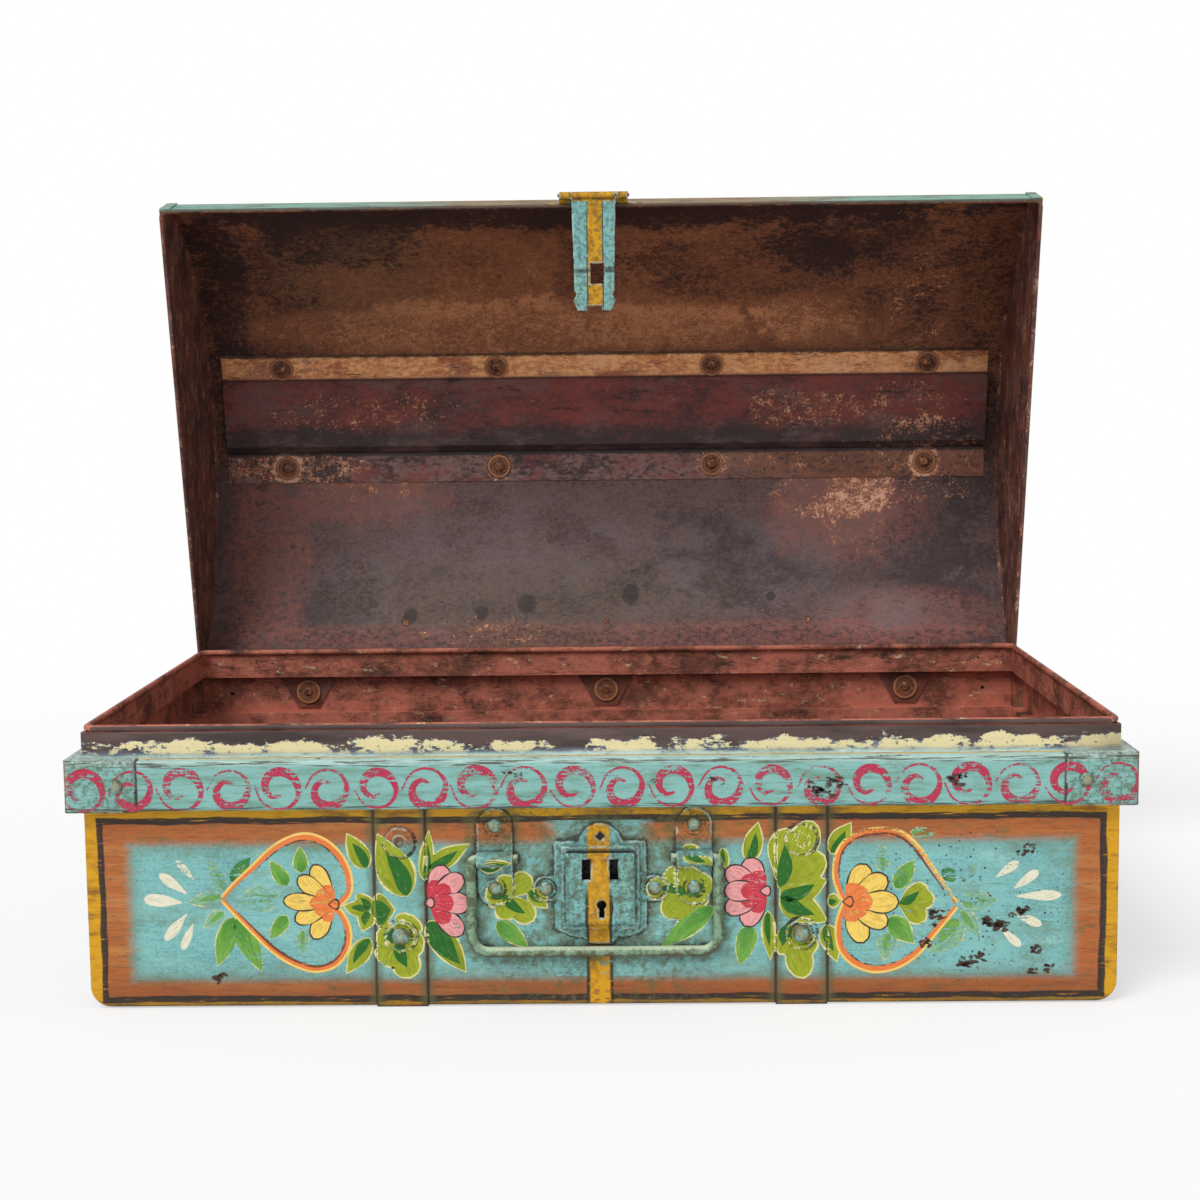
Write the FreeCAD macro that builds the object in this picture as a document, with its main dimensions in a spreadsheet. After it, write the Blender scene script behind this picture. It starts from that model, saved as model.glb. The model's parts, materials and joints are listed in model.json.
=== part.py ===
import FreeCAD, Part
import math
import os
import re

import Sketcher

# A painted sheet steel trunk, shown open: tub, arched lid, lock, hasp and bail handle.
# Millimetres. X runs to the right, Y away from the front, Z up. The origin lies on
# the ground, under the middle of the tub. The lid's own frame has its origin on the
# hinge axis, and the hasp's own frame has its origin on the hasp's pin.

Vector = FreeCAD.Vector

# an edge counts as lying at a place when it is this near to it
SNAP = 0.0001

# a rivet's dome breaks at this share of its width and of its rise
DOME_WIDTH_SHARE = 0.66
DOME_RISE_SHARE = 0.62

SIZES = {
    # tub of joined sheet panels
    "tubWidth": 602.0,
    "tubDepth": 326.0,
    "gauge": 1.0,
    "bandBottom": 120.0,
    "bandTop": 149.0,
    "bandProud": 8.2,
    "neckTop": 169.0,
    "neckBead": 2.0,
    "neckCorner": 6.0,
    "hemDepth": 7.0,
    "cornerBend": 12.0,
    "edgeRound": 0.8,
    "floorFlange": 30.0,
    "floorInset": 15.0,
    # corner caps on the band
    "capReach": 42.0,
    "capGauge": 0.8,
    "capSeat": 0.2,
    "capRound": 3.0,
    # body straps
    "strapSpan": 117.0,
    "strapWidth": 30.0,
    "strapGauge": 1.0,
    "strapHem": 1.0,
    # rivets and washers
    "rivetHead": 5.4,
    "rivetRise": 2.4,
    "rivetShank": 2.0,
    "rivetTail": 3.6,
    "rivetTailRise": 1.2,
    "rivetFit": 0.05,
    "flatHead": 4.6,
    "flatRise": 0.8,
    "smallHead": 4.3,
    "smallRise": 1.9,
    "smallShank": 1.5,
    "smallTail": 2.8,
    "smallTailRise": 0.9,
    "washerRadius": 9.0,
    "washerGauge": 1.0,
    "strapRivetHigh": 99.0,
    "strapRivetLow": 43.0,
    "capRivetInset": 30.5,
    # bail handle and its two brackets
    "handleShift": -3.4,
    "bracketSpan": 58.0,
    "bracketWidth": 21.0,
    "bracketBelow": 27.8,
    "bracketAbove": 29.9,
    "bracketGauge": 1.2,
    "bracketRivetInset": 10.2,
    "bracketEndFlat": 0.2,
    "bailHeight": 88.6,
    "bailRod": 3.0,
    "bailSpan": 71.9,
    "bailDrop": 55.0,
    "bailBend": 10.0,
    "bailTurnIn": 3.3,
    "bailPlay": 0.3,
    "bailEndOver": 3.0,
    # lock on the front wall
    "plateGauge": 1.2,
    "lockHalf": 22.7,
    "lockLow": 47.0,
    "lockHigh": 96.3,
    "lockRise": 9.2,
    "lockStep": 3.0,
    "faceInset": 2.7,
    "faceLowInset": 4.2,
    "faceBevel": 1.0,
    "lockWall": 1.2,
    "plateHalf": 27.0,
    "plateMargin": 2.5,
    "tabRadius": 13.0,
    "stapleHigh": 101.4,
    "stapleHalf": 2.6,
    "earCentre": 31.8,
    "earHeight": 70.6,
    "earRadius": 7.6,
    "tailShoulder": 24.5,
    "tailShoulderDrop": 1.5,
    "tailWaist": 10.5,
    "tailWaistDrop": 5.4,
    "tailTip": 6.5,
    "tailDrop": 9.4,
    "tailCurve": 22.0,
    "slotSpan": 8.0,
    "slotWidth": 5.0,
    "slotHigh": 84.0,
    "slotHeight": 12.0,
    "keyRadius": 2.7,
    "keyHigh": 63.0,
    "keyShift": 0.7,
    "keyTail": 7.4,
    "keyTailWidth": 2.8,
    "boltGauge": 1.8,
    "boltPlay": 0.3,
    "boltPeep": 0.4,
    "boltTongue": 5.6,
    "boltTongueHeight": 4.0,
    "boltPost": 2.5,
    "boltBarLow": 70.0,
    "boltBarHeight": 6.0,
    # rear hinges
    "hingeStand": 3.5,
    "hingeRise": 1.0,
    "hingeFromEnd": 79.0,
    "hingeWidth": 42.0,
    "hingeFoot": 20.0,
    "hingeMiddle": 20.0,
    "knuckleRadius": 2.4,
    "knuckleGap": 0.3,
    "pinRadius": 1.2,
    "pinFit": 0.05,
    "leafGauge": 1.2,
    "leafDrop": 26.0,
    "leafClear": 0.5,
    "leafFootClear": 0.2,
    "pinOver": 0.2,
    "hingeRivetDrop": 13.0,
    "backingWidth": 42.0,
    "backingFoot": 16.0,
    "backingDrop": 24.0,
    "backingGauge": 1.0,
    "backingClear": 0.2,
    # arched lid
    "lidOverEnd": 4.0,
    "lidOverFront": 7.0,
    "lidSkirt": 30.0,
    "archRise": 88.0,
    "lidOpen": 76.5,
    "restGap": 0.3,
    "lidBead": 1.5,
    "lidBeadCorner": 5.0,
    "stiffenerShift": 8.7,
    "stiffenerHalf": 50.0,
    "flangeWidth": 22.0,
    "webSlope": 6.5,
    "stiffenerHeight": 5.0,
    "stiffenerShort": 5.0,
    "stiffenerRivetInset": 11.0,
    "stiffenerRivetFromEnd": 58.0,
    "washerLift": 0.25,
    "backRivetFromEnd": 151.0,
    "backRivetReach": 154.5,
    # hasp, its leaf on the lid and its pin
    "haspShift": -4.0,
    "haspPinOut": 6.5,
    "haspPinDrop": 2.1,
    "haspHalf": 15.3,
    "haspTaper": 1.3,
    "haspGauge": 1.5,
    "haspBend": 49.5,
    "haspStep": 2.0,
    "haspLength": 78.6,
    "haspHoleShift": 2.0,
    "haspHoleHalf": 4.6,
    "haspHoleTop": 46.5,
    "haspHoleHeight": 13.6,
    "lobeNotch": 67.5,
    "lobeNotchDepth": 1.6,
    "lobeNotchHalf": 3.0,
    "lobeWide": 71.5,
    "lobeOut": 0.6,
    "lobeTipOut": 11.5,
    "lobeTipIn": 5.0,
    "lobeCleft": 3.2,
    "eyeWidth": 2.5,
    "eyeDepth": 5.5,
    "eyeHeight": 10.0,
    "eyeBoreSpan": 5.6,
    "eyeBoreDepth": 3.3,
    "eyeRoot": 1.1,
    "haspLeafHalf": 33.5,
    "haspLeafShoulder": 24.0,
    "haspLeafTop": 17.0,
    "haspLeafTip": 3.5,
    "haspLeafHeight": 21.0,
    "haspEndKnuckle": 8.0,
    "haspPinOver": 1.0,
    "haspRivetSpan": 14.0,
    "haspRivetRise": 12.0,
    # one overrun for every cut
    "overrun": 2.0,
}

# places that follow from the sizes, written once
DERIVED = {
    "wallY": "tubDepth / 2",
    "hemX": "tubWidth / 2",
    "wallX": "hemX - gauge",
    "bandY": "wallY + bandProud",
    "bandX": "hemX + bandProud",
    "groundClear": "strapGauge",
    "neckSheetTop": "neckTop - 2 * neckBead",
    "hingeY": "bandY + hingeStand",
    "hingeZ": "bandTop + hingeRise",
    "hingeSpread": "hemX - hingeFromEnd",
    "lidX": "hemX + lidOverEnd",
    "lidHalf": "wallY + lidOverFront",
    "lidRim": "bandTop + capGauge + restGap - hingeZ",
    "lidSheetLow": "lidRim + 2 * lidBead",
    "springLine": "lidRim + lidSkirt",
    "archRadius": "(lidHalf ^ 2 + archRise ^ 2) / (2 * archRise)",
    "archZ": "springLine + archRise - archRadius",
    "archInner": "archRadius - 2 * gauge",
    "stiffenerRivetOuter": "lidX - stiffenerRivetFromEnd",
    "stiffenerRivetInner": "stiffenerRivetOuter / 3",
    "backRivetSpan": "lidX - backRivetFromEnd",
    "strapInset": "strapWidth / 2",
    "lockFace": "wallY + plateGauge + lockRise",
    "boltFar": "lockFace - lockWall - boltPlay",
    "lidFrontSheet": "-hingeY - lidHalf + gauge",
    "lidBackSheet": "-hingeY + lidHalf - gauge",
    "haspPinY": "-hingeY - lidHalf - haspPinOut",
    "haspPinZ": "-haspPinDrop",
    "haspRestY": "hingeY + haspPinY * cos(lidOpen) + haspPinZ * sin(lidOpen)",
    "haspRestZ": "hingeZ - haspPinY * sin(lidOpen) + haspPinZ * cos(lidOpen)",
    "bailY": "wallY + bailRod + bailPlay",
    "bracketLow": "bailHeight - bracketBelow",
    "bracketHigh": "bailHeight + bracketAbove",
    "bracketEye": "bailRod + bailPlay",
    "eyeMiddle": "hingeZ - haspPinDrop - slotHigh",
}

document = FreeCAD.newDocument("Trunk")
sheet = document.addObject("Spreadsheet::Sheet", "Sizes")
for row, (alias, size) in enumerate(SIZES.items(), start=1):
    sheet.set("A%d" % row, alias)
    sheet.set("B%d" % row, str(size))
    sheet.setAlias("B%d" % row, alias)
document.recompute()

NODES = []


def bind(text):
    """Write a formula in sizes as one that the document's objects can follow."""
    def swap(match):
        word = match.group(0)
        if word in DERIVED:
            return "(" + bind(DERIVED[word]) + ")"
        if word in SIZES:
            return "Sizes." + word
        return word
    return re.sub(r"[A-Za-z][A-Za-z0-9]*", swap, text)


def measure(text):
    """Read a formula in sizes as a plain number of millimetres."""
    return float(sheet.evalExpression(bind(text).replace("Sizes.", "")))


def keep(label, piece):
    """Record a finished piece under the name of its file."""
    piece.Label = label
    NODES.append(piece)
    return piece


# Sketches whose every corner is driven by the sheet


def arcBetween(start, end, radius, side):
    """Make the short arc from start to end, with its centre left (1) or right (-1)."""
    chord = end - start
    middle = (start + end) * 0.5
    across = Vector(-chord.y, chord.x, 0).normalize()
    rise = math.sqrt(max(radius ** 2 - (chord.Length / 2) ** 2, 0))
    centre = middle + across * (rise * side)
    angles = [math.atan2(p.y - centre.y, p.x - centre.x) for p in (start, end)]
    if side < 0:
        angles.reverse()
    return Part.ArcOfCircle(Part.Circle(centre, Vector(0, 0, 1), radius), *angles)


def drawLoop(sketch, corners):
    """Draw a closed outline. A corner is (x, y), or (x, y, radius, side) before an arc."""
    points = [Vector(measure(c[0]), measure(c[1]), 0) for c in corners]
    first = sketch.GeometryCount
    count = len(corners)
    ends = []
    for index, corner in enumerate(corners):
        start = points[index]
        end = points[(index + 1) % count]
        if len(corner) == 2:
            sketch.addGeometry(Part.LineSegment(start, end))
            ends.append((1, 2))
        else:
            sketch.addGeometry(arcBetween(start, end, measure(corner[2]), corner[3]))
            ends.append((1, 2) if corner[3] > 0 else (2, 1))
    for index, corner in enumerate(corners):
        line = first + index
        before = first + (index - 1) % count
        sketch.addConstraint(
            Sketcher.Constraint("Coincident", before, ends[index - 1][1], line, ends[index][0])
        )
        for kind, axis, text in (("DistanceX", 0, corner[0]), ("DistanceY", 1, corner[1])):
            place = Sketcher.Constraint(kind, line, ends[index][0], points[index][axis])
            number = sketch.addConstraint(place)
            sketch.setExpression("Constraints[%d]" % number, bind(text))
        if len(corner) == 4:
            bend = Sketcher.Constraint("Radius", line, measure(corner[2]))
            number = sketch.addConstraint(bend)
            sketch.setExpression("Constraints[%d]" % number, bind(corner[2]))


def drawCircle(sketch, across, up, radius):
    """Draw a circle from the formulas of its centre and radius."""
    centre = Vector(measure(across), measure(up), 0)
    line = sketch.addGeometry(Part.Circle(centre, Vector(0, 0, 1), measure(radius)))
    for kind, axis, text in (("DistanceX", 0, across), ("DistanceY", 1, up)):
        number = sketch.addConstraint(Sketcher.Constraint(kind, line, 3, centre[axis]))
        sketch.setExpression("Constraints[%d]" % number, bind(text))
    number = sketch.addConstraint(Sketcher.Constraint("Radius", line, measure(radius)))
    sketch.setExpression("Constraints[%d]" % number, bind(radius))


def drawSketch(body, plane, start, outlines):
    """Draw outlines on a plane of the body, moved along the plane's normal by start."""
    sketch = body.newObject("Sketcher::SketchObject", body.Name + "Sketch")
    support = [face for face in body.Origin.OriginFeatures if face.Role == plane]
    sketch.AttachmentSupport = [(support[0], "")]
    sketch.MapMode = "FlatFace"
    sketch.setExpression("AttachmentOffset.Base.z", bind(start))
    for outline in outlines:
        if isinstance(outline[0], str):
            drawCircle(sketch, *outline)
        else:
            drawLoop(sketch, outline)
    return sketch


def newBody(label):
    """Start a body."""
    return document.addObject("PartDesign::Body", label + "Body")


def addPad(body, plane, start, length, outlines):
    """Add a prism that begins at start and runs along the plane's normal."""
    pad = body.newObject("PartDesign::Pad", body.Name + "Pad")
    pad.Profile = drawSketch(body, plane, start, outlines)
    pad.setExpression("Length", bind(length))
    return pad


def addPocket(body, plane, start, length, outlines):
    """Cut a prism that begins at start and runs along the plane's normal."""
    document.recompute()
    before = body.Shape.Volume
    pocket = body.newObject("PartDesign::Pocket", body.Name + "Pocket")
    pocket.Profile = drawSketch(body, plane, start, outlines)
    pocket.setExpression("Length", bind(length))
    pocket.Reversed = True
    document.recompute()
    if not body.Shape.Volume < before:
        raise ValueError("a pocket of %s cuts nothing" % body.Name)
    return pocket


def roundEdges(body, radius, wanted):
    """Round the edges that wanted picks."""
    document.recompute()
    base = body.Tip
    names = ["Edge%d" % (n + 1) for n, edge in enumerate(base.Shape.Edges) if wanted(edge)]
    fillet = body.newObject("PartDesign::Fillet", body.Name + "Fillet")
    fillet.Base = (base, names)
    fillet.setExpression("Radius", bind(radius))
    return fillet


def edgeAt(**places):
    """Pick edges that lie at the given coordinates from end to end."""
    wanted = {axis: measure(text) for axis, text in places.items()}

    def test(edge):
        spots = [v.Point for v in edge.Vertexes] + [edge.CenterOfMass]
        return all(
            abs(getattr(spot, axis) - size) < SNAP
            for spot in spots
            for axis, size in wanted.items()
        )
    return test


def anyOf(*tests):
    """Pick edges that any of the tests picks."""
    return lambda edge: any(test(edge) for test in tests)


def rectangle(left, right, low, high):
    """Give the corners of a rectangle."""
    return [(left, low), (right, low), (right, high), (left, high)]


# Fasteners, as solids of revolution set on their seats


def rivet(head, rise, shank, grip, tail, tailRise):
    """Make a rivet: a domed head above z = 0, the shank below it and a set tail."""
    corners = [
        Vector(head, 0, 0),
        Vector(shank, 0, 0),
        Vector(shank, 0, -grip),
        Vector(tail, 0, -grip),
        Vector(tail, 0, -grip - tailRise),
        Vector(0, 0, -grip - tailRise),
        Vector(0, 0, rise),
        Vector(head * DOME_WIDTH_SHARE, 0, rise * DOME_RISE_SHARE),
    ]
    face = Part.Face(Part.makePolygon(corners + corners[:1]))
    return face.revolve(Vector(), Vector(0, 0, 1), 360)


def washer(radius, bore, height):
    """Make a flat washer that stands on z = 0."""
    disc = Part.makeCylinder(radius, height)
    return disc.cut(Part.makeCylinder(bore, height))


def setOn(solid, seat, outward):
    """Stand a solid of revolution on a seat, its head to the outward side."""
    placed = solid.copy()
    placed.Placement = FreeCAD.Placement(seat, FreeCAD.Rotation(Vector(0, 0, 1), outward))
    return placed


def fastenerGroup(label, solid, seats):
    """Make one piece of equal fasteners, each a separate solid."""
    group = document.addObject("Part::Feature", label + "Group")
    group.Shape = Part.Compound([setOn(solid, seat, outward) for seat, outward in seats])
    return group


def drillGroup(label, radius, depth, seats):
    """Make the drill for a group of fasteners, through all that they join."""
    over = measure("overrun")
    bit = Part.makeCylinder(radius, depth + 2 * over, Vector(0, 0, -depth - over))
    drill = document.addObject("Part::Feature", label + "Drill")
    drill.Shape = Part.Compound([setOn(bit, seat, outward) for seat, outward in seats])
    return drill


def drilled(label, body, drill):
    """Cut a drill's holes out of a body."""
    document.recompute()
    piece = document.addObject("Part::Cut", label + "Drilled")
    piece.Base = body
    piece.Tool = drill
    return piece


def joinDrills(label, drills):
    """Bring several drills together."""
    joined = document.addObject("Part::Compound", label)
    joined.Links = drills
    return joined


def lidPlacement(piece):
    """Hang a piece drawn in the lid's frame on the hinge axis, at the open angle."""
    turn = FreeCAD.Rotation(Vector(1, 0, 0), -measure("lidOpen"))
    piece.Placement = FreeCAD.Placement(Vector(), turn)
    piece.setExpression("Placement.Base.y", bind("hingeY"))
    piece.setExpression("Placement.Base.z", bind("hingeZ"))
    piece.setExpression("Placement.Rotation.Angle", bind("0 - lidOpen"))
    return piece


def haspPlacement(piece):
    """Hang a piece drawn in the hasp's frame on its pin, straight down."""
    piece.setExpression("Placement.Base.x", bind("haspShift"))
    piece.setExpression("Placement.Base.y", bind("haspRestY"))
    piece.setExpression("Placement.Base.z", bind("haspRestZ"))
    return piece


# Seats of the tub's fasteners


def frontAndBack(xs, ys, zs, sides=(-1, 1)):
    """List seats on the front and back walls."""
    seats = []
    for side in sides:
        for x in xs:
            for z in zs:
                seat = Vector(measure(x), side * measure(ys), measure(z))
                seats.append((seat, Vector(0, side, 0)))
    return seats


STRAP_X = ("-strapSpan", "strapSpan")
HINGE_X = ("-hingeSpread", "0", "hingeSpread")
BRACKET_X = ("handleShift - bracketSpan", "handleShift + bracketSpan")

strapLowSeats = frontAndBack(STRAP_X, "wallY + strapGauge + washerGauge", ("strapRivetLow",))
strapHighSeats = frontAndBack(STRAP_X, "wallY + strapGauge + washerGauge", ("strapRivetHigh",))
strapWasherSeats = frontAndBack(
    STRAP_X, "wallY + strapGauge", ("strapRivetLow", "strapRivetHigh")
)
bracketSeats = frontAndBack(
    BRACKET_X,
    "wallY + bracketGauge",
    ("bracketLow + bracketRivetInset", "bracketHigh - bracketRivetInset"),
    (-1,),
)
lockSeats = frontAndBack(("-earCentre", "earCentre"), "wallY + plateGauge", ("earHeight",), (-1,))
hingeSeats = frontAndBack(HINGE_X, "bandY + leafGauge", ("bandTop - hingeRivetDrop",), (1,))
hingeWasherSeats = [
    (Vector(seat.x, measure("bandY - gauge - backingGauge"), seat.z), Vector(0, -1, 0))
    for seat, outward in hingeSeats
]
capSeats = []
capMiddle = measure("(bandTop + bandBottom) / 2")
for sideX in (-1, 1):
    for sideY in (-1, 1):
        onFront = Vector(
            sideX * measure("bandX + capGauge - capRivetInset"),
            sideY * measure("bandY + capGauge"),
            capMiddle,
        )
        onEnd = Vector(
            sideX * measure("bandX + capGauge"),
            sideY * measure("bandY + capGauge - capRivetInset"),
            capMiddle,
        )
        capSeats.append((onFront, Vector(0, sideY, 0)))
        capSeats.append((onEnd, Vector(sideX, 0, 0)))

shankBore = measure("rivetShank + rivetFit")
smallBore = measure("smallShank + rivetFit")
strapGrip = measure("washerGauge + strapGauge + gauge")
bracketGrip = measure("bracketGauge + gauge")
lockGrip = measure("plateGauge + gauge")
hingeGrip = measure("leafGauge + gauge + backingGauge + washerGauge")
capGrip = measure("capGauge + gauge")

tubDrill = joinDrills("TubDrill", [
    drillGroup("strapLow", shankBore, strapGrip, strapLowSeats),
    drillGroup("strapHigh", shankBore, strapGrip, strapHighSeats),
    drillGroup("bracket", shankBore, bracketGrip, bracketSeats),
    drillGroup("lock", smallBore, lockGrip, lockSeats),
    drillGroup("hinge", shankBore, hingeGrip, hingeSeats),
    drillGroup("cap", smallBore, capGrip, capSeats),
])


# Tub panels


def bandSection(face, band):
    """Give the outward part of a wall's section: neck, hollow band and wall face."""
    return [
        (face, "neckSheetTop"),
        (face, "bandTop"),
        (band, "bandTop"),
        (band, "bandBottom"),
        (face, "bandBottom"),
    ]


def bandSectionInside(face, band):
    """Give the inner side of the same section, one sheet further in."""
    inner = face + " - gauge"
    return [
        (inner, "bandBottom + gauge"),
        (band + " - gauge", "bandBottom + gauge"),
        (band + " - gauge", "bandTop - gauge"),
        (inner, "bandTop - gauge"),
        (inner, "neckSheetTop"),
    ]


def longPanel(label, turn):
    """Make the front or back wall: neck, band and flat face, hemmed round the ends."""
    body = newBody(label)
    section = bandSection("wallY", "bandY")
    section += [("wallY", "groundClear"), ("wallY - gauge", "groundClear")]
    section += bandSectionInside("wallY", "bandY")
    section = [("-(" + y + ")", z) for y, z in section]
    addPad(body, "YZ_Plane", "-hemX", "2 * hemX", [section])
    low = anyOf(
        edgeAt(x="hemX", z="groundClear"),
        edgeAt(x="-hemX", z="groundClear"),
    )
    roundEdges(body, "cornerBend", low)
    hem = [
        ("hemX", "bandBottom"),
        ("wallX", "bandBottom"),
        ("wallX", "groundClear + cornerBend", "cornerBend - gauge", -1),
        ("hemX - cornerBend", "groundClear + gauge"),
        ("-(hemX - cornerBend)", "groundClear + gauge", "cornerBend - gauge", -1),
        ("-wallX", "groundClear + cornerBend"),
        ("-wallX", "bandBottom"),
        ("-hemX", "bandBottom"),
        ("-hemX", "groundClear + cornerBend", "cornerBend", 1),
        ("-(hemX - cornerBend)", "groundClear"),
        ("hemX - cornerBend", "groundClear", "cornerBend", 1),
        ("hemX", "groundClear + cornerBend"),
    ]
    rightNeck = rectangle("wallX", "hemX", "bandTop", "neckSheetTop")
    leftNeck = rectangle("-hemX", "-wallX", "bandTop", "neckSheetTop")
    addPad(body, "XZ_Plane", "wallY - hemDepth", "hemDepth", [hem, rightNeck, leftNeck])
    document.recompute()
    face = -measure("wallY")
    floorLevel = measure("groundClear")
    bandLevel = measure("bandBottom")
    bendTop = floorLevel + measure("cornerBend")
    hemEdge = measure("hemX")

    def onHem(edge):
        spots = [v.Point for v in edge.Vertexes] + [edge.CenterOfMass]
        if any(abs(spot.y - face) > SNAP for spot in spots):
            return False
        below = all(spot.z < bandLevel + SNAP for spot in spots)
        upright = below and all(abs(abs(spot.x) - hemEdge) < SNAP for spot in spots)
        under = all(abs(spot.z - floorLevel) < SNAP for spot in spots)
        bend = edge.Curve.TypeId == "Part::GeomCircle" and edge.CenterOfMass.z < bendTop
        return upright or under or bend

    roundEdges(body, "edgeRound", onHem)
    body.Placement.Rotation = FreeCAD.Rotation(Vector(0, 0, 1), turn)
    return keep(label, drilled(label, body, tubDrill))


def endPanel(label, side):
    """Make an end wall: neck, band, flat face and the bend that turns under the floor."""
    body = newBody(label)
    section = bandSection("wallX", "bandX")
    section += [
        ("wallX", "groundClear + cornerBend", "cornerBend - gauge", -1),
        ("hemX - cornerBend", "groundClear + gauge"),
        ("hemX - floorFlange", "groundClear + gauge"),
        ("hemX - floorFlange", "groundClear + 2 * gauge"),
        ("hemX - cornerBend", "groundClear + 2 * gauge", "cornerBend - 2 * gauge", 1),
        ("wallX - gauge", "groundClear + cornerBend"),
    ]
    section += bandSectionInside("wallX", "bandX")
    if side < 0:
        flipped = []
        for corner in section:
            bend = (corner[2], -corner[3]) if len(corner) == 4 else ()
            flipped.append(("-(" + corner[0] + ")", corner[1]) + bend)
        section = flipped
    addPad(body, "XZ_Plane", "-(wallY - gauge)", "2 * (wallY - gauge)", [section])
    return keep(label, drilled(label, body, tubDrill))


def floorSheet():
    """Make the floor, which laps over the end walls' flanges."""
    body = newBody("tub_floor")
    outline = rectangle(
        "-(hemX - floorInset)", "hemX - floorInset", "-(wallY - gauge)", "wallY - gauge"
    )
    addPad(body, "XY_Plane", "groundClear + 2 * gauge", "gauge", [outline])
    return keep("tub_floor", body)


def beadLoop(label, halfX, halfY, middleY, bend, radius, level):
    """Make a wire that runs round a rectangle with rounded corners."""
    x = measure(halfX)
    y = measure(halfY)
    turn = measure(bend)
    shift = Vector(0, measure(middleY), measure(level))
    diagonal = turn * (1 - math.sqrt(0.5))
    start = Vector(0, -y, 0) + shift
    edges = []
    last = start
    for sx, sy in ((1, -1), (1, 1), (-1, 1), (-1, -1)):
        ends = [Vector(sx * (x - turn), sy * y, 0), Vector(sx * x, sy * (y - turn), 0)]
        if sx == sy:
            ends.reverse()
        middle = Vector(sx * (x - diagonal), sy * (y - diagonal), 0) + shift
        edges.append(Part.makeLine(last, ends[0] + shift))
        edges.append(Part.Arc(ends[0] + shift, middle, ends[1] + shift).toShape())
        last = ends[1] + shift
    edges.append(Part.makeLine(last, start))
    ring = Part.Wire(Part.makeCircle(measure(radius), start, Vector(1, 0, 0)))
    piece = document.addObject("Part::Feature", label + "Wire")
    piece.Shape = Part.Wire(edges).makePipeShell([ring], True, True)
    return piece


def cornerCap(label, sideX, sideY):
    """Make a formed cap over one corner of the band."""
    body = newBody(label)
    signX = "%d * " % sideX
    signY = "%d * " % sideY

    def ell(outX, outY, endX, endY, inX, inY):
        return [
            (signX + "(" + outX + ")", signY + "(" + outY + ")"),
            (signX + "(" + outX + ")", signY + "(" + endY + ")"),
            (signX + "(" + inX + ")", signY + "(" + endY + ")"),
            (signX + "(" + inX + ")", signY + "(" + inY + ")"),
            (signX + "(" + endX + ")", signY + "(" + inY + ")"),
            (signX + "(" + endX + ")", signY + "(" + outY + ")"),
        ]

    outside = ell(
        "bandX + capGauge", "bandY + capGauge",
        "bandX + capGauge - capReach", "bandY + capGauge - capReach",
        "hemX + capSeat", "wallY + capSeat",
    )
    inside = ell(
        "bandX", "bandY",
        "bandX - capReach - overrun", "bandY - capReach - overrun",
        "hemX - overrun", "wallY - overrun",
    )
    addPad(body, "XY_Plane", "bandBottom - capGauge", "bandTop - bandBottom + 2 * capGauge", [outside])
    addPocket(body, "XY_Plane", "bandBottom", "bandTop - bandBottom", [inside])
    outer = edgeAt(x=signX + "(bandX + capGauge)", y=signY + "(bandY + capGauge)")
    roundEdges(body, "capRound", outer)
    inner = edgeAt(x=signX + "bandX", y=signY + "bandY")
    roundEdges(body, "capRound - capGauge", inner)
    return keep(label, drilled(label, body, tubDrill))


def bodyStrap(label, middle):
    """Make a strap that runs down the front, under the floor and up the back."""
    body = newBody(label)
    section = [
        ("-(wallY + strapGauge)", "bandBottom - strapHem"),
        ("-(wallY + strapGauge)", "edgeRound + strapGauge", "edgeRound + strapGauge", 1),
        ("-(wallY - edgeRound)", "0"),
        ("wallY - edgeRound", "0", "edgeRound + strapGauge", 1),
        ("wallY + strapGauge", "edgeRound + strapGauge"),
        ("wallY + strapGauge", "bandBottom - strapHem"),
        ("wallY", "bandBottom - strapHem"),
        ("wallY", "edgeRound + strapGauge", "edgeRound", -1),
        ("wallY - edgeRound", "strapGauge"),
        ("-(wallY - edgeRound)", "strapGauge", "edgeRound", -1),
        ("-wallY", "edgeRound + strapGauge"),
        ("-wallY", "bandBottom - strapHem"),
    ]
    addPad(body, "YZ_Plane", middle + " - strapInset", "strapWidth", [section])
    return keep(label, drilled(label, body, tubDrill))


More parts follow.
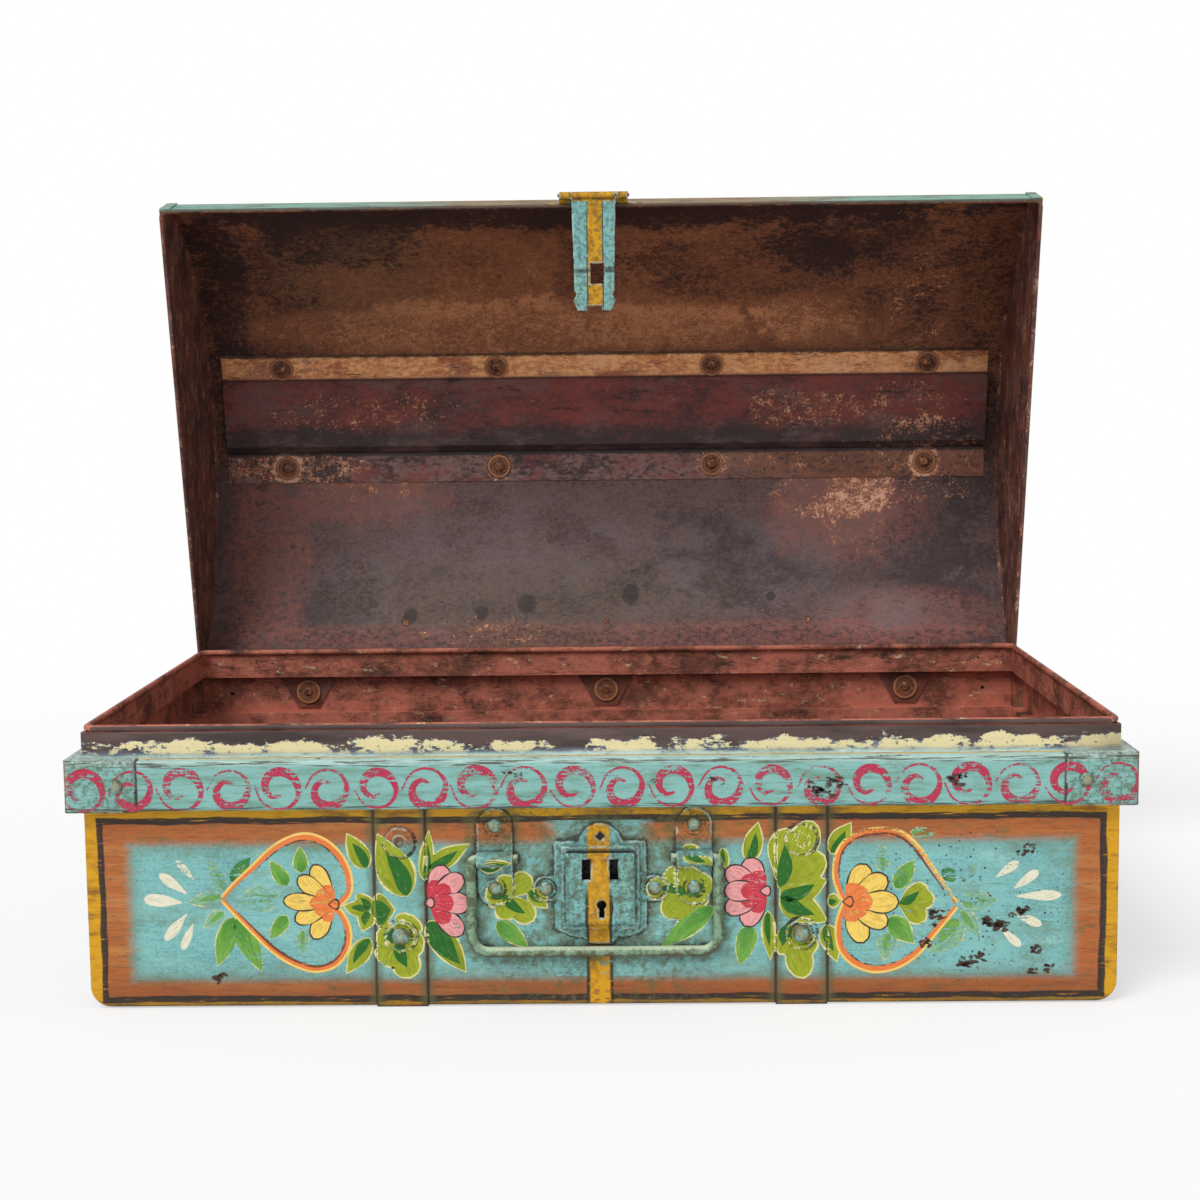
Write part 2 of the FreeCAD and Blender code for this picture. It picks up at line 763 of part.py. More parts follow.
def buildTub():
    """Make the tub's sheets, caps, straps and their fasteners."""
    longPanel("tub_front_panel", 0)
    longPanel("tub_back_panel", 180)
    endPanel("tub_left_panel", -1)
    endPanel("tub_right_panel", 1)
    floorSheet()
    keep("tub_rim_wire", beadLoop(
        "tub_rim_wire", "hemX - neckBead", "wallY - neckBead", "0", "neckCorner",
        "neckBead", "neckTop - neckBead",
    ))
    for label, sideX, sideY in (
        ("corner_cap_front_left", -1, -1),
        ("corner_cap_front_right", 1, -1),
        ("corner_cap_back_left", -1, 1),
        ("corner_cap_back_right", 1, 1),
    ):
        cornerCap(label, sideX, sideY)
    bodyStrap("body_strap_left", "-strapSpan")
    bodyStrap("body_strap_right", "strapSpan")
    dome = rivet(
        measure("rivetHead"), measure("rivetRise"), measure("rivetShank"),
        strapGrip, measure("rivetTail"), measure("rivetTailRise"),
    )
    flat = rivet(
        measure("flatHead"), measure("flatRise"), measure("rivetShank"),
        strapGrip, measure("rivetTail"), measure("rivetTailRise"),
    )
    small = rivet(
        measure("smallHead"), measure("smallRise"), measure("smallShank"),
        capGrip, measure("smallTail"), measure("smallTailRise"),
    )
    disc = washer(measure("washerRadius"), shankBore, measure("washerGauge"))
    keep("strap_dome_rivets", fastenerGroup("strap_dome_rivets", dome, strapLowSeats))
    keep("strap_flat_rivets", fastenerGroup("strap_flat_rivets", flat, strapHighSeats))
    keep("strap_washers", fastenerGroup("strap_washers", disc, strapWasherSeats))
    keep("corner_cap_rivets", fastenerGroup("corner_cap_rivets", small, capSeats))


# Bail handle


def handleBracket(label, middle):
    """Make a bracket: a strip with round ends, humped over the bail's turned-in end."""
    body = newBody(label)
    section = [
        ("-wallY", "bracketLow"),
        ("-wallY", "bailHeight - bracketEye"),
        ("-bailY", "bailHeight - bracketEye", "bracketEye", -1),
        ("-bailY - bracketEye", "bailHeight", "bracketEye", -1),
        ("-bailY", "bailHeight + bracketEye"),
        ("-wallY", "bailHeight + bracketEye"),
        ("-wallY", "bracketHigh"),
        ("-wallY - bracketGauge", "bracketHigh"),
        ("-wallY - bracketGauge", "bailHeight + bracketEye + bracketGauge"),
        ("-bailY", "bailHeight + bracketEye + bracketGauge", "bracketEye + bracketGauge", 1),
        ("-bailY - bracketEye - bracketGauge", "bailHeight", "bracketEye + bracketGauge", 1),
        ("-bailY", "bailHeight - bracketEye - bracketGauge"),
        ("-wallY - bracketGauge", "bailHeight - bracketEye - bracketGauge"),
        ("-wallY - bracketGauge", "bracketLow"),
    ]
    addPad(body, "YZ_Plane", middle + " - bracketWidth / 2", "bracketWidth", [section])
    left = middle + " - bracketWidth / 2"
    right = middle + " + bracketWidth / 2"
    ends = anyOf(
        edgeAt(x=left, z="bracketLow"), edgeAt(x=right, z="bracketLow"),
        edgeAt(x=left, z="bracketHigh"), edgeAt(x=right, z="bracketHigh"),
    )
    roundEdges(body, "bracketWidth / 2 - bracketEndFlat", ends)
    return keep(label, drilled(label, body, tubDrill))


def bailHandle():
    """Make the bail: a round rod with two bends each side and turned-in ends."""
    span = measure("bailSpan")
    shift = measure("handleShift")
    high = measure("bailHeight")
    low = high - measure("bailDrop")
    depth = -measure("bailY")
    bend = measure("bailBend")
    turn = measure("bailTurnIn")
    reach = measure("bracketSpan - bracketWidth / 2 - bailEndOver")
    half = math.sqrt(0.5)

    def spot(across, up):
        return Vector(shift + across, depth, up)

    def quarter(side, centreX, centreZ, radius, first, middle, last):
        points = [
            spot(side * (centreX + radius * a), centreZ + radius * b)
            for a, b in (first, middle, last)
        ]
        return Part.Arc(*points).toShape(), points

    edges = []
    for side in (-1, 1):
        upper, upperEnds = quarter(
            side, span - turn, high - turn, turn, (0, 1), (half, half), (1, 0)
        )
        lower, lowerEnds = quarter(
            side, span - bend, low + bend, bend, (1, 0), (half, -half), (0, -1)
        )
        edges.append(Part.makeLine(spot(side * reach, high), upperEnds[0]))
        edges.append(upper)
        edges.append(Part.makeLine(upperEnds[2], lowerEnds[0]))
        edges.append(lower)
    edges.append(Part.makeLine(spot(-(span - bend), low), spot(span - bend, low)))
    path = Part.Wire(Part.__sortEdges__(edges))
    ring = Part.Wire(Part.makeCircle(measure("bailRod"), spot(-reach, high), Vector(1, 0, 0)))
    piece = document.addObject("Part::Feature", "handleBail")
    piece.Shape = path.makePipeShell([ring], True, True)
    return keep("handle_bail", piece)


def buildHandle():
    """Make the handle, its brackets and their rivets."""
    handleBracket("handle_bracket_left", BRACKET_X[0])
    handleBracket("handle_bracket_right", BRACKET_X[1])
    bailHandle()
    dome = rivet(
        measure("smallHead"), measure("smallRise"), measure("rivetShank"),
        bracketGrip, measure("rivetTail"), measure("rivetTailRise"),
    )
    keep("handle_bracket_rivets", fastenerGroup("handle_bracket_rivets", dome, bracketSeats))


# Lock


def lockBackplate():
    """Make the lock's back plate, with its staple tab, ears and scalloped tail."""
    body = newBody("lock_backplate")
    right = [
        ("tailTip", "lockLow - tailDrop"),
        ("tailWaist", "lockLow - tailWaistDrop", "tailCurve", 1),
        ("tailShoulder", "lockLow - tailShoulderDrop"),
        ("plateHalf", "lockLow"),
        ("plateHalf", "earHeight - earRadius"),
        ("earCentre", "earHeight - earRadius", "earRadius", 1),
        ("earCentre + earRadius", "earHeight", "earRadius", 1),
        ("earCentre", "earHeight + earRadius"),
        ("plateHalf", "earHeight + earRadius"),
        ("plateHalf", "lockHigh + plateMargin"),
        ("sqrt(tabRadius ^ 2 - plateMargin ^ 2)", "lockHigh + plateMargin", "tabRadius", 1),
        ("0", "lockHigh + tabRadius"),
    ]
    left = []
    for index in range(len(right) - 2, -1, -1):
        x, z = right[index][:2]
        before = right[index - 1][2:] if index > 0 else ()
        left.append(("-(" + x + ")", z) + tuple(before))
    top = ("0", "lockHigh + tabRadius", "tabRadius", 1)
    addPad(body, "XZ_Plane", "wallY", "plateGauge", [right[:-1] + [top] + left])
    diamond = [
        ("0", "stapleHigh - stapleHalf"),
        ("stapleHalf", "stapleHigh"),
        ("0", "stapleHigh + stapleHalf"),
        ("-stapleHalf", "stapleHigh"),
    ]
    addPocket(body, "XZ_Plane", "wallY - overrun", "plateGauge + 2 * overrun", [diamond])
    return keep("lock_backplate", drilled("lock_backplate", body, tubDrill))


def lockCase():
    """Make the pressed lock case: stepped border, raised face, slots and keyhole."""
    body = newBody("lock_case")
    base = rectangle("-lockHalf", "lockHalf", "lockLow", "lockHigh")
    raised = rectangle(
        "-(lockHalf - faceInset)", "lockHalf - faceInset",
        "lockLow + faceLowInset", "lockHigh - faceInset",
    )
    cavity = rectangle(
        "-(lockHalf - faceInset - lockWall)", "lockHalf - faceInset - lockWall",
        "lockLow + faceLowInset + lockWall", "lockHigh - faceInset - lockWall",
    )
    plate = "wallY + plateGauge"
    addPad(body, "XZ_Plane", plate, "lockStep", [base])
    addPad(body, "XZ_Plane", plate + " + lockStep", "lockRise - lockStep", [raised])
    addPocket(body, "XZ_Plane", plate, "lockRise - lockWall", [cavity])
    front = edgeAt(y="-lockFace")
    roundEdges(body, "faceBevel", front)
    document.recompute()
    slots = [
        rectangle(
            side + "slotSpan - slotWidth / 2", side + "slotSpan + slotWidth / 2",
            "slotHigh - slotHeight / 2", "slotHigh + slotHeight / 2",
        )
        for side in ("-1 * ", "")
    ]
    addPocket(body, "XZ_Plane", "lockFace - lockWall - overrun", "lockWall + 2 * overrun", slots)
    keyhole = [
        ("keyShift - keyTailWidth / 2", "keyHigh - sqrt(keyRadius ^ 2 - keyTailWidth ^ 2 / 4)"),
        ("keyShift - keyTailWidth / 2", "keyHigh - keyTail"),
        ("keyShift + keyTailWidth / 2", "keyHigh - keyTail"),
        (
            "keyShift + keyTailWidth / 2", "keyHigh - sqrt(keyRadius ^ 2 - keyTailWidth ^ 2 / 4)",
            "keyRadius", 1,
        ),
        ("keyShift + keyRadius", "keyHigh", "keyRadius", 1),
        ("keyShift", "keyHigh + keyRadius", "keyRadius", 1),
        ("keyShift - keyRadius", "keyHigh", "keyRadius", 1),
    ]
    addPocket(body, "XZ_Plane", "lockFace - lockWall - overrun", "lockWall + 2 * overrun", [keyhole])
    return keep("lock_case", body)


def lockBolt():
    """Make the sliding bolt: a bar with two posts, each with a tongue beside a slot."""
    body = newBody("lock_bolt")
    low = "boltBarLow"
    bar = "boltBarLow + boltBarHeight"
    under = "slotHigh"
    top = "slotHigh + boltTongueHeight"
    tipLeft = "0 - slotSpan + slotWidth / 2 - boltPeep"
    tipRight = "slotSpan + slotWidth / 2 - boltPeep"
    outline = [
        (tipLeft + " + boltTongue", low),
        (tipRight + " + boltTongue + boltPost", low),
        (tipRight + " + boltTongue + boltPost", top),
        (tipRight, top),
        (tipRight, under),
        (tipRight + " + boltTongue", under),
        (tipRight + " + boltTongue", bar),
        (tipLeft + " + boltTongue + boltPost", bar),
        (tipLeft + " + boltTongue + boltPost", top),
        (tipLeft, top),
        (tipLeft, under),
        (tipLeft + " + boltTongue", under),
    ]
    addPad(body, "XZ_Plane", "boltFar - boltGauge", "boltGauge", [outline])
    return keep("lock_bolt", body)


def buildLock():
    """Make the lock and its rivets."""
    lockBackplate()
    lockCase()
    lockBolt()
    dome = rivet(
        measure("smallHead"), measure("smallRise"), measure("smallShank"),
        lockGrip, measure("smallTail"), measure("smallTailRise"),
    )
    keep("lock_rivets", fastenerGroup("lock_rivets", dome, lockSeats))


# Rear hinges


def hingeTubLeaf(label, middle):
    """Make a leaf on the band, with the middle knuckle."""
    body = newBody(label)
    plate = [
        (middle + " - hingeFoot / 2", "bandTop - leafDrop"),
        (middle + " + hingeFoot / 2", "bandTop - leafDrop"),
        (middle + " + hingeWidth / 2", "hingeZ - knuckleRadius - leafClear"),
        (middle + " - hingeWidth / 2", "hingeZ - knuckleRadius - leafClear"),
    ]
    addPad(body, "XZ_Plane", "-(bandY + leafGauge)", "leafGauge", [plate])
    web = [
        ("bandY", "hingeZ - knuckleRadius - 2 * leafGauge"),
        ("bandY + leafGauge", "hingeZ - knuckleRadius - 2 * leafGauge"),
        ("hingeY", "hingeZ - knuckleRadius + leafGauge / 2"),
        ("hingeY - knuckleRadius + leafGauge / 2", "hingeZ"),
        ("bandY + leafFootClear", "hingeZ - leafGauge"),
    ]
    start = middle + " - hingeMiddle / 2"
    addPad(body, "YZ_Plane", start, "hingeMiddle", [web])
    addPad(body, "YZ_Plane", start, "hingeMiddle", [("hingeY", "hingeZ", "knuckleRadius")])
    bore = ("hingeY", "hingeZ", "pinRadius + pinFit")
    addPocket(body, "YZ_Plane", start + " - overrun", "hingeMiddle + 2 * overrun", [bore])
    return keep(label, drilled(label, body, tubDrill))


def hingeLidLeaf(label, middle, drill):
    """Make a leaf on the lid's back skirt, with the two outer knuckles."""
    body = newBody(label)
    face = "lidBackSheet"
    foot = "lidSheetLow + leafFootClear"
    plate = [
        (middle + " - hingeWidth / 2", foot),
        (middle + " + hingeWidth / 2", foot),
        (middle + " + hingeFoot / 2", foot + " + leafDrop"),
        (middle + " - hingeFoot / 2", foot + " + leafDrop"),
    ]
    addPad(body, "XZ_Plane", "-(" + face + " + leafGauge)", "leafGauge", [plate])
    web = [
        (face, foot),
        ("lidBackSheet + gauge + leafFootClear", foot),
        ("lidBackSheet + gauge + leafFootClear", "lidRim"),
        ("0 - knuckleRadius + leafGauge / 2", "0"),
        ("0", "knuckleRadius - leafGauge / 2"),
        (face + " + leafGauge", foot + " + 2 * leafGauge"),
        (face, foot + " + 2 * leafGauge"),
    ]
    length = "hingeWidth / 2 - hingeMiddle / 2 - knuckleGap"
    for start in (middle + " - hingeWidth / 2", middle + " + hingeMiddle / 2 + knuckleGap"):
        addPad(body, "YZ_Plane", start, length, [web])
        addPad(body, "YZ_Plane", start, length, [("0", "0", "knuckleRadius")])
    bore = ("0", "0", "pinRadius + pinFit")
    start = middle + " - hingeWidth / 2 - overrun"
    addPocket(body, "YZ_Plane", start, "hingeWidth + 2 * overrun", [bore])
    return keep(label, lidPlacement(drilled(label, body, drill)))


def hingePin(label, middle):
    """Make a hinge pin."""
    pin = document.addObject("Part::Cylinder", label + "Rod")
    pin.setExpression("Radius", bind("pinRadius"))
    pin.setExpression("Height", bind("hingeWidth + 2 * pinOver"))
    pin.Placement.Rotation = FreeCAD.Rotation(Vector(0, 1, 0), 90)
    pin.setExpression("Placement.Base.x", bind(middle + " - hingeWidth / 2 - pinOver"))
    pin.setExpression("Placement.Base.y", bind("hingeY"))
    pin.setExpression("Placement.Base.z", bind("hingeZ"))
    return keep(label, pin)


def hingeBacking(label, middle):
    """Make the plate that backs a hinge leaf inside the hollow band."""
    body = newBody(label)
    top = "bandTop - gauge - backingClear"
    outline = [
        (middle + " - backingFoot / 2", top + " - backingDrop"),
        (middle + " + backingFoot / 2", top + " - backingDrop"),
        (middle + " + backingWidth / 2", top),
        (middle + " - backingWidth / 2", top),
    ]
    addPad(body, "XZ_Plane", "-(bandY - gauge)", "backingGauge", [outline])
    return keep(label, drilled(label, body, tubDrill))


# Lid


def lidOutline(offset, low):
    """Give the lid's end outline, moved in from the outside by offset, from low up."""
    reach = "lidHalf - " + offset
    spring = "archZ + sqrt((archRadius - " + offset + ") ^ 2 - (" + reach + ") ^ 2)"
    crown = "archZ + archRadius - " + offset
    return [
        ("0 - hingeY - (" + reach + ")", low),
        ("0 - hingeY + (" + reach + ")", low),
        ("0 - hingeY + (" + reach + ")", spring, "archRadius - " + offset, 1),
        ("0 - hingeY", crown, "archRadius - " + offset, 1),
        ("0 - hingeY - (" + reach + ")", spring),
    ]


def lidBandOutline(outer, inner, low):
    """Give the section of a sheet between two offsets of the lid's outline."""
    outside = lidOutline(outer, low)
    inside = lidOutline(inner, low)
    back = [
        inside[1],
        inside[0],
        inside[4][:2] + (inside[3][2], -1),
        inside[3][:2] + (inside[2][2], -1),
        inside[2][:2],
    ]
    loop = [outside[1], outside[2], outside[3], outside[4], outside[0]]
    loop += [back[1], back[2], back[3], back[4], back[0]]
    return loop


def radialSeat(x, across, surface, lift):
    """Give a seat over the arch at a sideways place: inward when the lift is below zero."""
    offset = measure(across)
    direction = Vector(0, offset / surface, math.sqrt(1 - (offset / surface) ** 2))
    centre = Vector(x, -measure("hingeY"), measure("archZ"))
    return centre + direction * (surface + lift), direction * (-1 if lift < 0 else 1)


def lidTopSheet(drill):
    """Make the sheet that forms the front skirt, the arch and the back skirt."""
    body = newBody("lid_top_sheet")
    section = lidBandOutline("gauge", "2 * gauge", "lidSheetLow")
    addPad(body, "YZ_Plane", "-(lidX - gauge)", "2 * (lidX - gauge)", [section])
    return keep("lid_top_sheet", lidPlacement(drilled("lid_top_sheet", body, drill)))


def lidEnd(label, side):
    """Make an end of the lid: a flat panel hemmed over the arched sheet."""
    body = newBody(label)
    start = "lidX - gauge" if side > 0 else "-lidX"
    hem = "lidX - hemDepth" if side > 0 else "-lidX"
    panel = lidOutline("0", "lidSheetLow")
    addPad(body, "YZ_Plane", start, "gauge", [panel])
    lip = lidBandOutline("0", "gauge", "lidSheetLow")
    addPad(body, "YZ_Plane", hem, "hemDepth", [lip])
    return keep(label, lidPlacement(body))


def lidStiffener(drill):
    """Make the hat section that stiffens the arch."""
    body = newBody("lid_stiffener")
    touching = "archInner"
    flange = "archInner - gauge"
    webFar = "archInner - stiffenerHeight"
    webNear = "archInner - stiffenerHeight - gauge"
    edge = "stiffenerHalf"
    root = "stiffenerHalf - flangeWidth"
    web = "stiffenerHalf - flangeWidth - webSlope"

    def corner(side, across, radius, bend=None):
        reach = "(stiffenerShift " + side + " (" + across + "))"
        place = ("0 - hingeY + " + reach, "archZ + sqrt((" + radius + ") ^ 2 - " + reach + " ^ 2)")
        return place + ((radius, bend) if bend else ())

    section = [
        corner("+", edge, touching, 1),
        corner("+", root, touching),
        corner("+", web, webFar, 1),
        corner("-", web, webFar),
        corner("-", root, touching, 1),
        corner("-", edge, touching),
        corner("-", edge, flange, -1),
        corner("-", root, flange),
        corner("-", web, webNear, -1),
        corner("+", web, webNear),
        corner("+", root, flange, -1),
        corner("+", edge, flange),
    ]
    half = "lidX - hemDepth - stiffenerShort"
    addPad(body, "YZ_Plane", "-(" + half + ")", "2 * (" + half + ")", [section])
    return keep("lid_stiffener", lidPlacement(drilled("lid_stiffener", body, drill)))


def buildLid():
    """Make the lid, its stiffener, hinges and fasteners."""
    columns = [
        measure(text)
        for text in (
            "-stiffenerRivetOuter", "-stiffenerRivetInner",
            "stiffenerRivetInner", "stiffenerRivetOuter",
        )
    ]
    rows = (
        "stiffenerShift - stiffenerHalf + stiffenerRivetInset",
        "stiffenerShift + stiffenerHalf - stiffenerRivetInset",
    )
    flange = measure("archInner - gauge")
    washerLift = -measure("washerLift")
    headLift = -measure("washerLift + washerGauge + rivetFit")
    stiffenerGrip = measure("washerGauge + washerLift + 2 * gauge + 2 * rivetFit")
    washerSeats = [radialSeat(x, row, flange, washerLift) for x in columns for row in rows]
    rivetSeats = [radialSeat(x, row, flange, headLift) for x in columns for row in rows]
    arch = measure("archRadius - gauge")
    backColumns = [measure(text) for text in ("-backRivetSpan", "0", "backRivetSpan")]
    backSeats = [radialSeat(x, "backRivetReach", arch, 0) for x in backColumns]
    leafRise = measure("lidSheetLow + leafFootClear + hingeRivetDrop")
    leafSeats = [
        (Vector(measure(x), measure("lidBackSheet + leafGauge"), leafRise), Vector(0, 1, 0))
        for x in HINGE_X
    ]
    haspFace = measure("lidFrontSheet - leafGauge")
    haspRise = measure("lidSheetLow + haspRivetRise")
    haspSeats = [
        (Vector(measure(x), haspFace, haspRise), Vector(0, -1, 0))
        for x in ("haspShift - haspRivetSpan", "haspShift", "haspShift + haspRivetSpan")
    ]
    leafGrip = measure("leafGauge + gauge")
    drill = joinDrills("LidDrill", [
        drillGroup("stiffener", shankBore, stiffenerGrip, rivetSeats),
        drillGroup("lidBack", smallBore, measure("gauge"), backSeats),
        drillGroup("lidLeaf", smallBore, leafGrip, leafSeats),
        drillGroup("haspLeaf", smallBore, leafGrip, haspSeats),
    ])
    lidTopSheet(drill)
    lidEnd("lid_left_end", -1)
    lidEnd("lid_right_end", 1)
    keep("lid_rim_wire", lidPlacement(lidRimWire()))
    lidStiffener(drill)
    dome = rivet(
        measure("smallHead"), measure("smallRise"), measure("rivetShank"),
        stiffenerGrip, measure("rivetTail"), measure("rivetTailRise"),
    )
    disc = washer(measure("washerRadius"), shankBore, measure("washerGauge"))
    small = rivet(
        measure("smallTail"), measure("smallTailRise"), measure("smallShank"),
        measure("gauge + rivetFit"), measure("smallTail"), measure("smallTailRise"),
    )
    leafRivet = rivet(
        measure("smallHead"), measure("smallRise"), measure("smallShank"),
        leafGrip, measure("smallTail"), measure("smallTailRise"),
    )
    for label, solid, seats in (
        ("stiffener_rivets", dome, rivetSeats),
        ("stiffener_washers", disc, washerSeats),
        ("lid_back_rivets", small, backSeats),
        ("hinge_lid_rivets", leafRivet, leafSeats),
        ("hasp_leaf_rivets", leafRivet, haspSeats),
    ):
        keep(label, lidPlacement(fastenerGroup(label, solid, seats)))
    for name, middle in zip(("left", "middle", "right"), HINGE_X):
        hingeTubLeaf("hinge_tub_leaf_" + name, middle)
        hingeLidLeaf("hinge_lid_leaf_" + name, middle, drill)
        hingePin("hinge_pin_" + name, middle)
        hingeBacking("hinge_backing_" + name, middle)
    hingeRivet = rivet(
        measure("smallHead"), measure("smallRise"), measure("rivetShank"),
        hingeGrip, measure("rivetTail"), measure("rivetTailRise"),
    )
    keep("hinge_tub_rivets", fastenerGroup("hinge_tub_rivets", hingeRivet, hingeSeats))
    keep("hinge_washers", fastenerGroup("hinge_washers", disc, hingeWasherSeats))
    haspLeaf(drill)


def lidRimWire():
    """Make the wired edge round the lid's mouth, in the lid's frame."""
    return beadLoop(
        "lid_rim_wire", "lidX - lidBead", "lidHalf - lidBead", "0 - hingeY", "lidBeadCorner",
        "lidBead", "lidRim + lidBead",
    )


# Hasp


def haspLeaf(drill):
    """Make the leaf on the lid's front skirt, with the two end knuckles."""
    body = newBody("hasp_leaf")
    foot = "lidSheetLow + leafFootClear"
    right = [
        ("haspShift + haspLeafHalf", foot),
        ("haspShift + haspLeafHalf - haspLeafTip", foot + " + haspLeafTip"),
        ("haspShift + haspLeafShoulder", foot + " + haspLeafTip + gauge"),
        ("haspShift + haspLeafTop", foot + " + haspLeafHeight"),
    ]
    left = [
        ("haspShift - haspLeafTop", foot + " + haspLeafHeight"),
        ("haspShift - haspLeafShoulder", foot + " + haspLeafTip + gauge"),
        ("haspShift - haspLeafHalf + haspLeafTip", foot + " + haspLeafTip"),
        ("haspShift - haspLeafHalf", foot),
    ]
    addPad(body, "XZ_Plane", "0 - lidFrontSheet", "leafGauge", [right + left])
    web = [
        ("lidFrontSheet", foot + " + leafGauge / 2"),
        ("haspPinY + knuckleRadius - leafGauge / 2", "haspPinZ"),
        ("haspPinY", "haspPinZ + knuckleRadius - leafGauge / 2"),
        ("lidFrontSheet - leafGauge", foot + " + 3 * leafGauge"),
        ("lidFrontSheet", foot + " + 3 * leafGauge"),
    ]
    near = "haspShift + haspHalf + knuckleGap"
    far = "haspShift - haspHalf - knuckleGap - haspEndKnuckle"
    for start in (near, far):
        addPad(body, "YZ_Plane", start, "haspEndKnuckle", [web])
        addPad(body, "YZ_Plane", start, "haspEndKnuckle", [("haspPinY", "haspPinZ", "knuckleRadius")])
    bore = ("haspPinY", "haspPinZ", "pinRadius + pinFit")
    length = "2 * (haspHalf + knuckleGap + haspEndKnuckle + overrun)"
    addPocket(body, "YZ_Plane", far + " - overrun", length, [bore])
    return keep("hasp_leaf", lidPlacement(drilled("hasp_leaf", body, drill)))


def haspPin():
    """Make the hasp's pin."""
    half = "haspHalf + knuckleGap + haspEndKnuckle + haspPinOver"
    pin = document.addObject("Part::Cylinder", "haspPinRod")
    pin.setExpression("Radius", bind("pinRadius"))
    pin.setExpression("Height", bind("2 * (" + half + ")"))
    pin.Placement.Rotation = FreeCAD.Rotation(Vector(0, 1, 0), 90)
    pin.setExpression("Placement.Base.x", bind("haspShift - (" + half + ")"))
    pin.setExpression("Placement.Base.y", bind("haspRestY"))
    pin.setExpression("Placement.Base.z", bind("haspRestZ"))
    return keep("hasp_pin", pin)


def haspPlate():
    """Make the hasp: knuckle, joggled strap, lobed end and two eyes for the lock."""
    body = newBody("hasp_plate")
    taper = "haspHalf - haspTaper"
    bend = "-haspBend"
    lower = "-(haspBend + haspStep)"
    strap = [
        ("haspHalf", "0 - knuckleRadius / 2"),
        ("-haspHalf", "0 - knuckleRadius / 2"),
        ("-(" + taper + ")", bend),
        (taper, bend),
    ]
    addPad(body, "XZ_Plane", "-haspGauge / 2", "haspGauge", [strap])
    knuckle = ("0", "0", "knuckleRadius")
    addPad(body, "YZ_Plane", "-haspHalf", "2 * haspHalf", [knuckle])
    joggle = [
        ("-haspGauge / 2", bend),
        ("haspGauge / 2", bend),
        ("haspGauge / 2 + haspStep", lower),
        ("haspStep - haspGauge / 2", lower),
    ]
    addPad(body, "YZ_Plane", "-(" + taper + ")", "2 * (" + taper + ")", [joggle])
    right = [
        (taper, lower),
        (taper, "-(lobeNotch - lobeNotchHalf)"),
        (taper + " - lobeNotchDepth", "-lobeNotch"),
        (taper + " + lobeOut", "-lobeWide"),
        ("lobeTipOut", "-haspLength"),
        ("lobeTipIn", "-haspLength"),
        ("lobeTipIn", "-(haspLength - lobeCleft)"),
    ]
    left = [("-(" + x + ")", z) for x, z in reversed(right)]
    addPad(body, "XZ_Plane", "-(haspStep + haspGauge / 2)", "haspGauge", [right + left])
    inner = "haspStep + haspGauge / 2"
    eyeLow = "0 - eyeMiddle - eyeHeight / 2"
    eyeHigh = "0 - eyeMiddle + eyeHeight / 2"
    eye = [
        (inner, eyeLow),
        (inner + " + eyeDepth - gauge", eyeLow),
        (inner + " + eyeDepth", eyeLow + " + gauge"),
        (inner + " + eyeDepth", eyeHigh + " - gauge"),
        (inner + " + eyeDepth - gauge", eyeHigh),
        (inner, eyeHigh),
    ]
    window = rectangle(
        inner + " + eyeRoot", inner + " + eyeRoot + eyeBoreDepth",
        "0 - eyeMiddle + boltTongueHeight / 2 - eyeBoreSpan / 2",
        "0 - eyeMiddle + boltTongueHeight / 2 + eyeBoreSpan / 2",
    )
    for side in ("-1 * ", ""):
        start = side + "slotSpan - haspShift - eyeWidth / 2"
        addPad(body, "YZ_Plane", start, "eyeWidth", [eye])
        addPocket(body, "YZ_Plane", start + " - overrun", "eyeWidth + 2 * overrun", [window])
    hole = rectangle(
        "haspHoleShift - haspHoleHalf", "haspHoleShift + haspHoleHalf",
        "-(haspHoleTop + haspHoleHeight)", "-haspHoleTop",
    )
    addPocket(
        body, "XZ_Plane", "-(haspStep + haspGauge + overrun)",
        "haspStep + 2 * haspGauge + 2 * overrun", [hole],
    )
    bore = ("0", "0", "pinRadius + pinFit")
    addPocket(body, "YZ_Plane", "-(haspHalf + overrun)", "2 * (haspHalf + overrun)", [bore])
    return keep("hasp_plate", haspPlacement(body))


def checkPieces():
    """Refuse a failed object, an empty shape or an invalid one."""
    document.recompute()
    for thing in document.Objects:
        if "Invalid" in thing.State or "Error" in thing.State:
            raise ValueError("%s failed: %s" % (thing.Label, thing.State))
    for piece in NODES:
        if piece.Shape.isNull() or not piece.Shape.isValid() or not piece.Shape.Solids:
            raise ValueError("%s has no valid solid" % piece.Label)


def writePieces():
    """Write each piece to its own file."""
    os.makedirs("parts", exist_ok=True)
    for piece in NODES:
        piece.Shape.exportStep(os.path.join("parts", piece.Label + ".step"))
    print("%d pieces written" % len(NODES))


buildTub()
buildHandle()
buildLock()
buildLid()
haspPin()
haspPlate()
checkPieces()
writePieces()
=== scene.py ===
import bpy, bmesh, json, math, random
import numpy as np
from functools import partial
from mathutils import Matrix, Vector
from mathutils.bvhtree import BVHTree
from mathutils.kdtree import KDTree


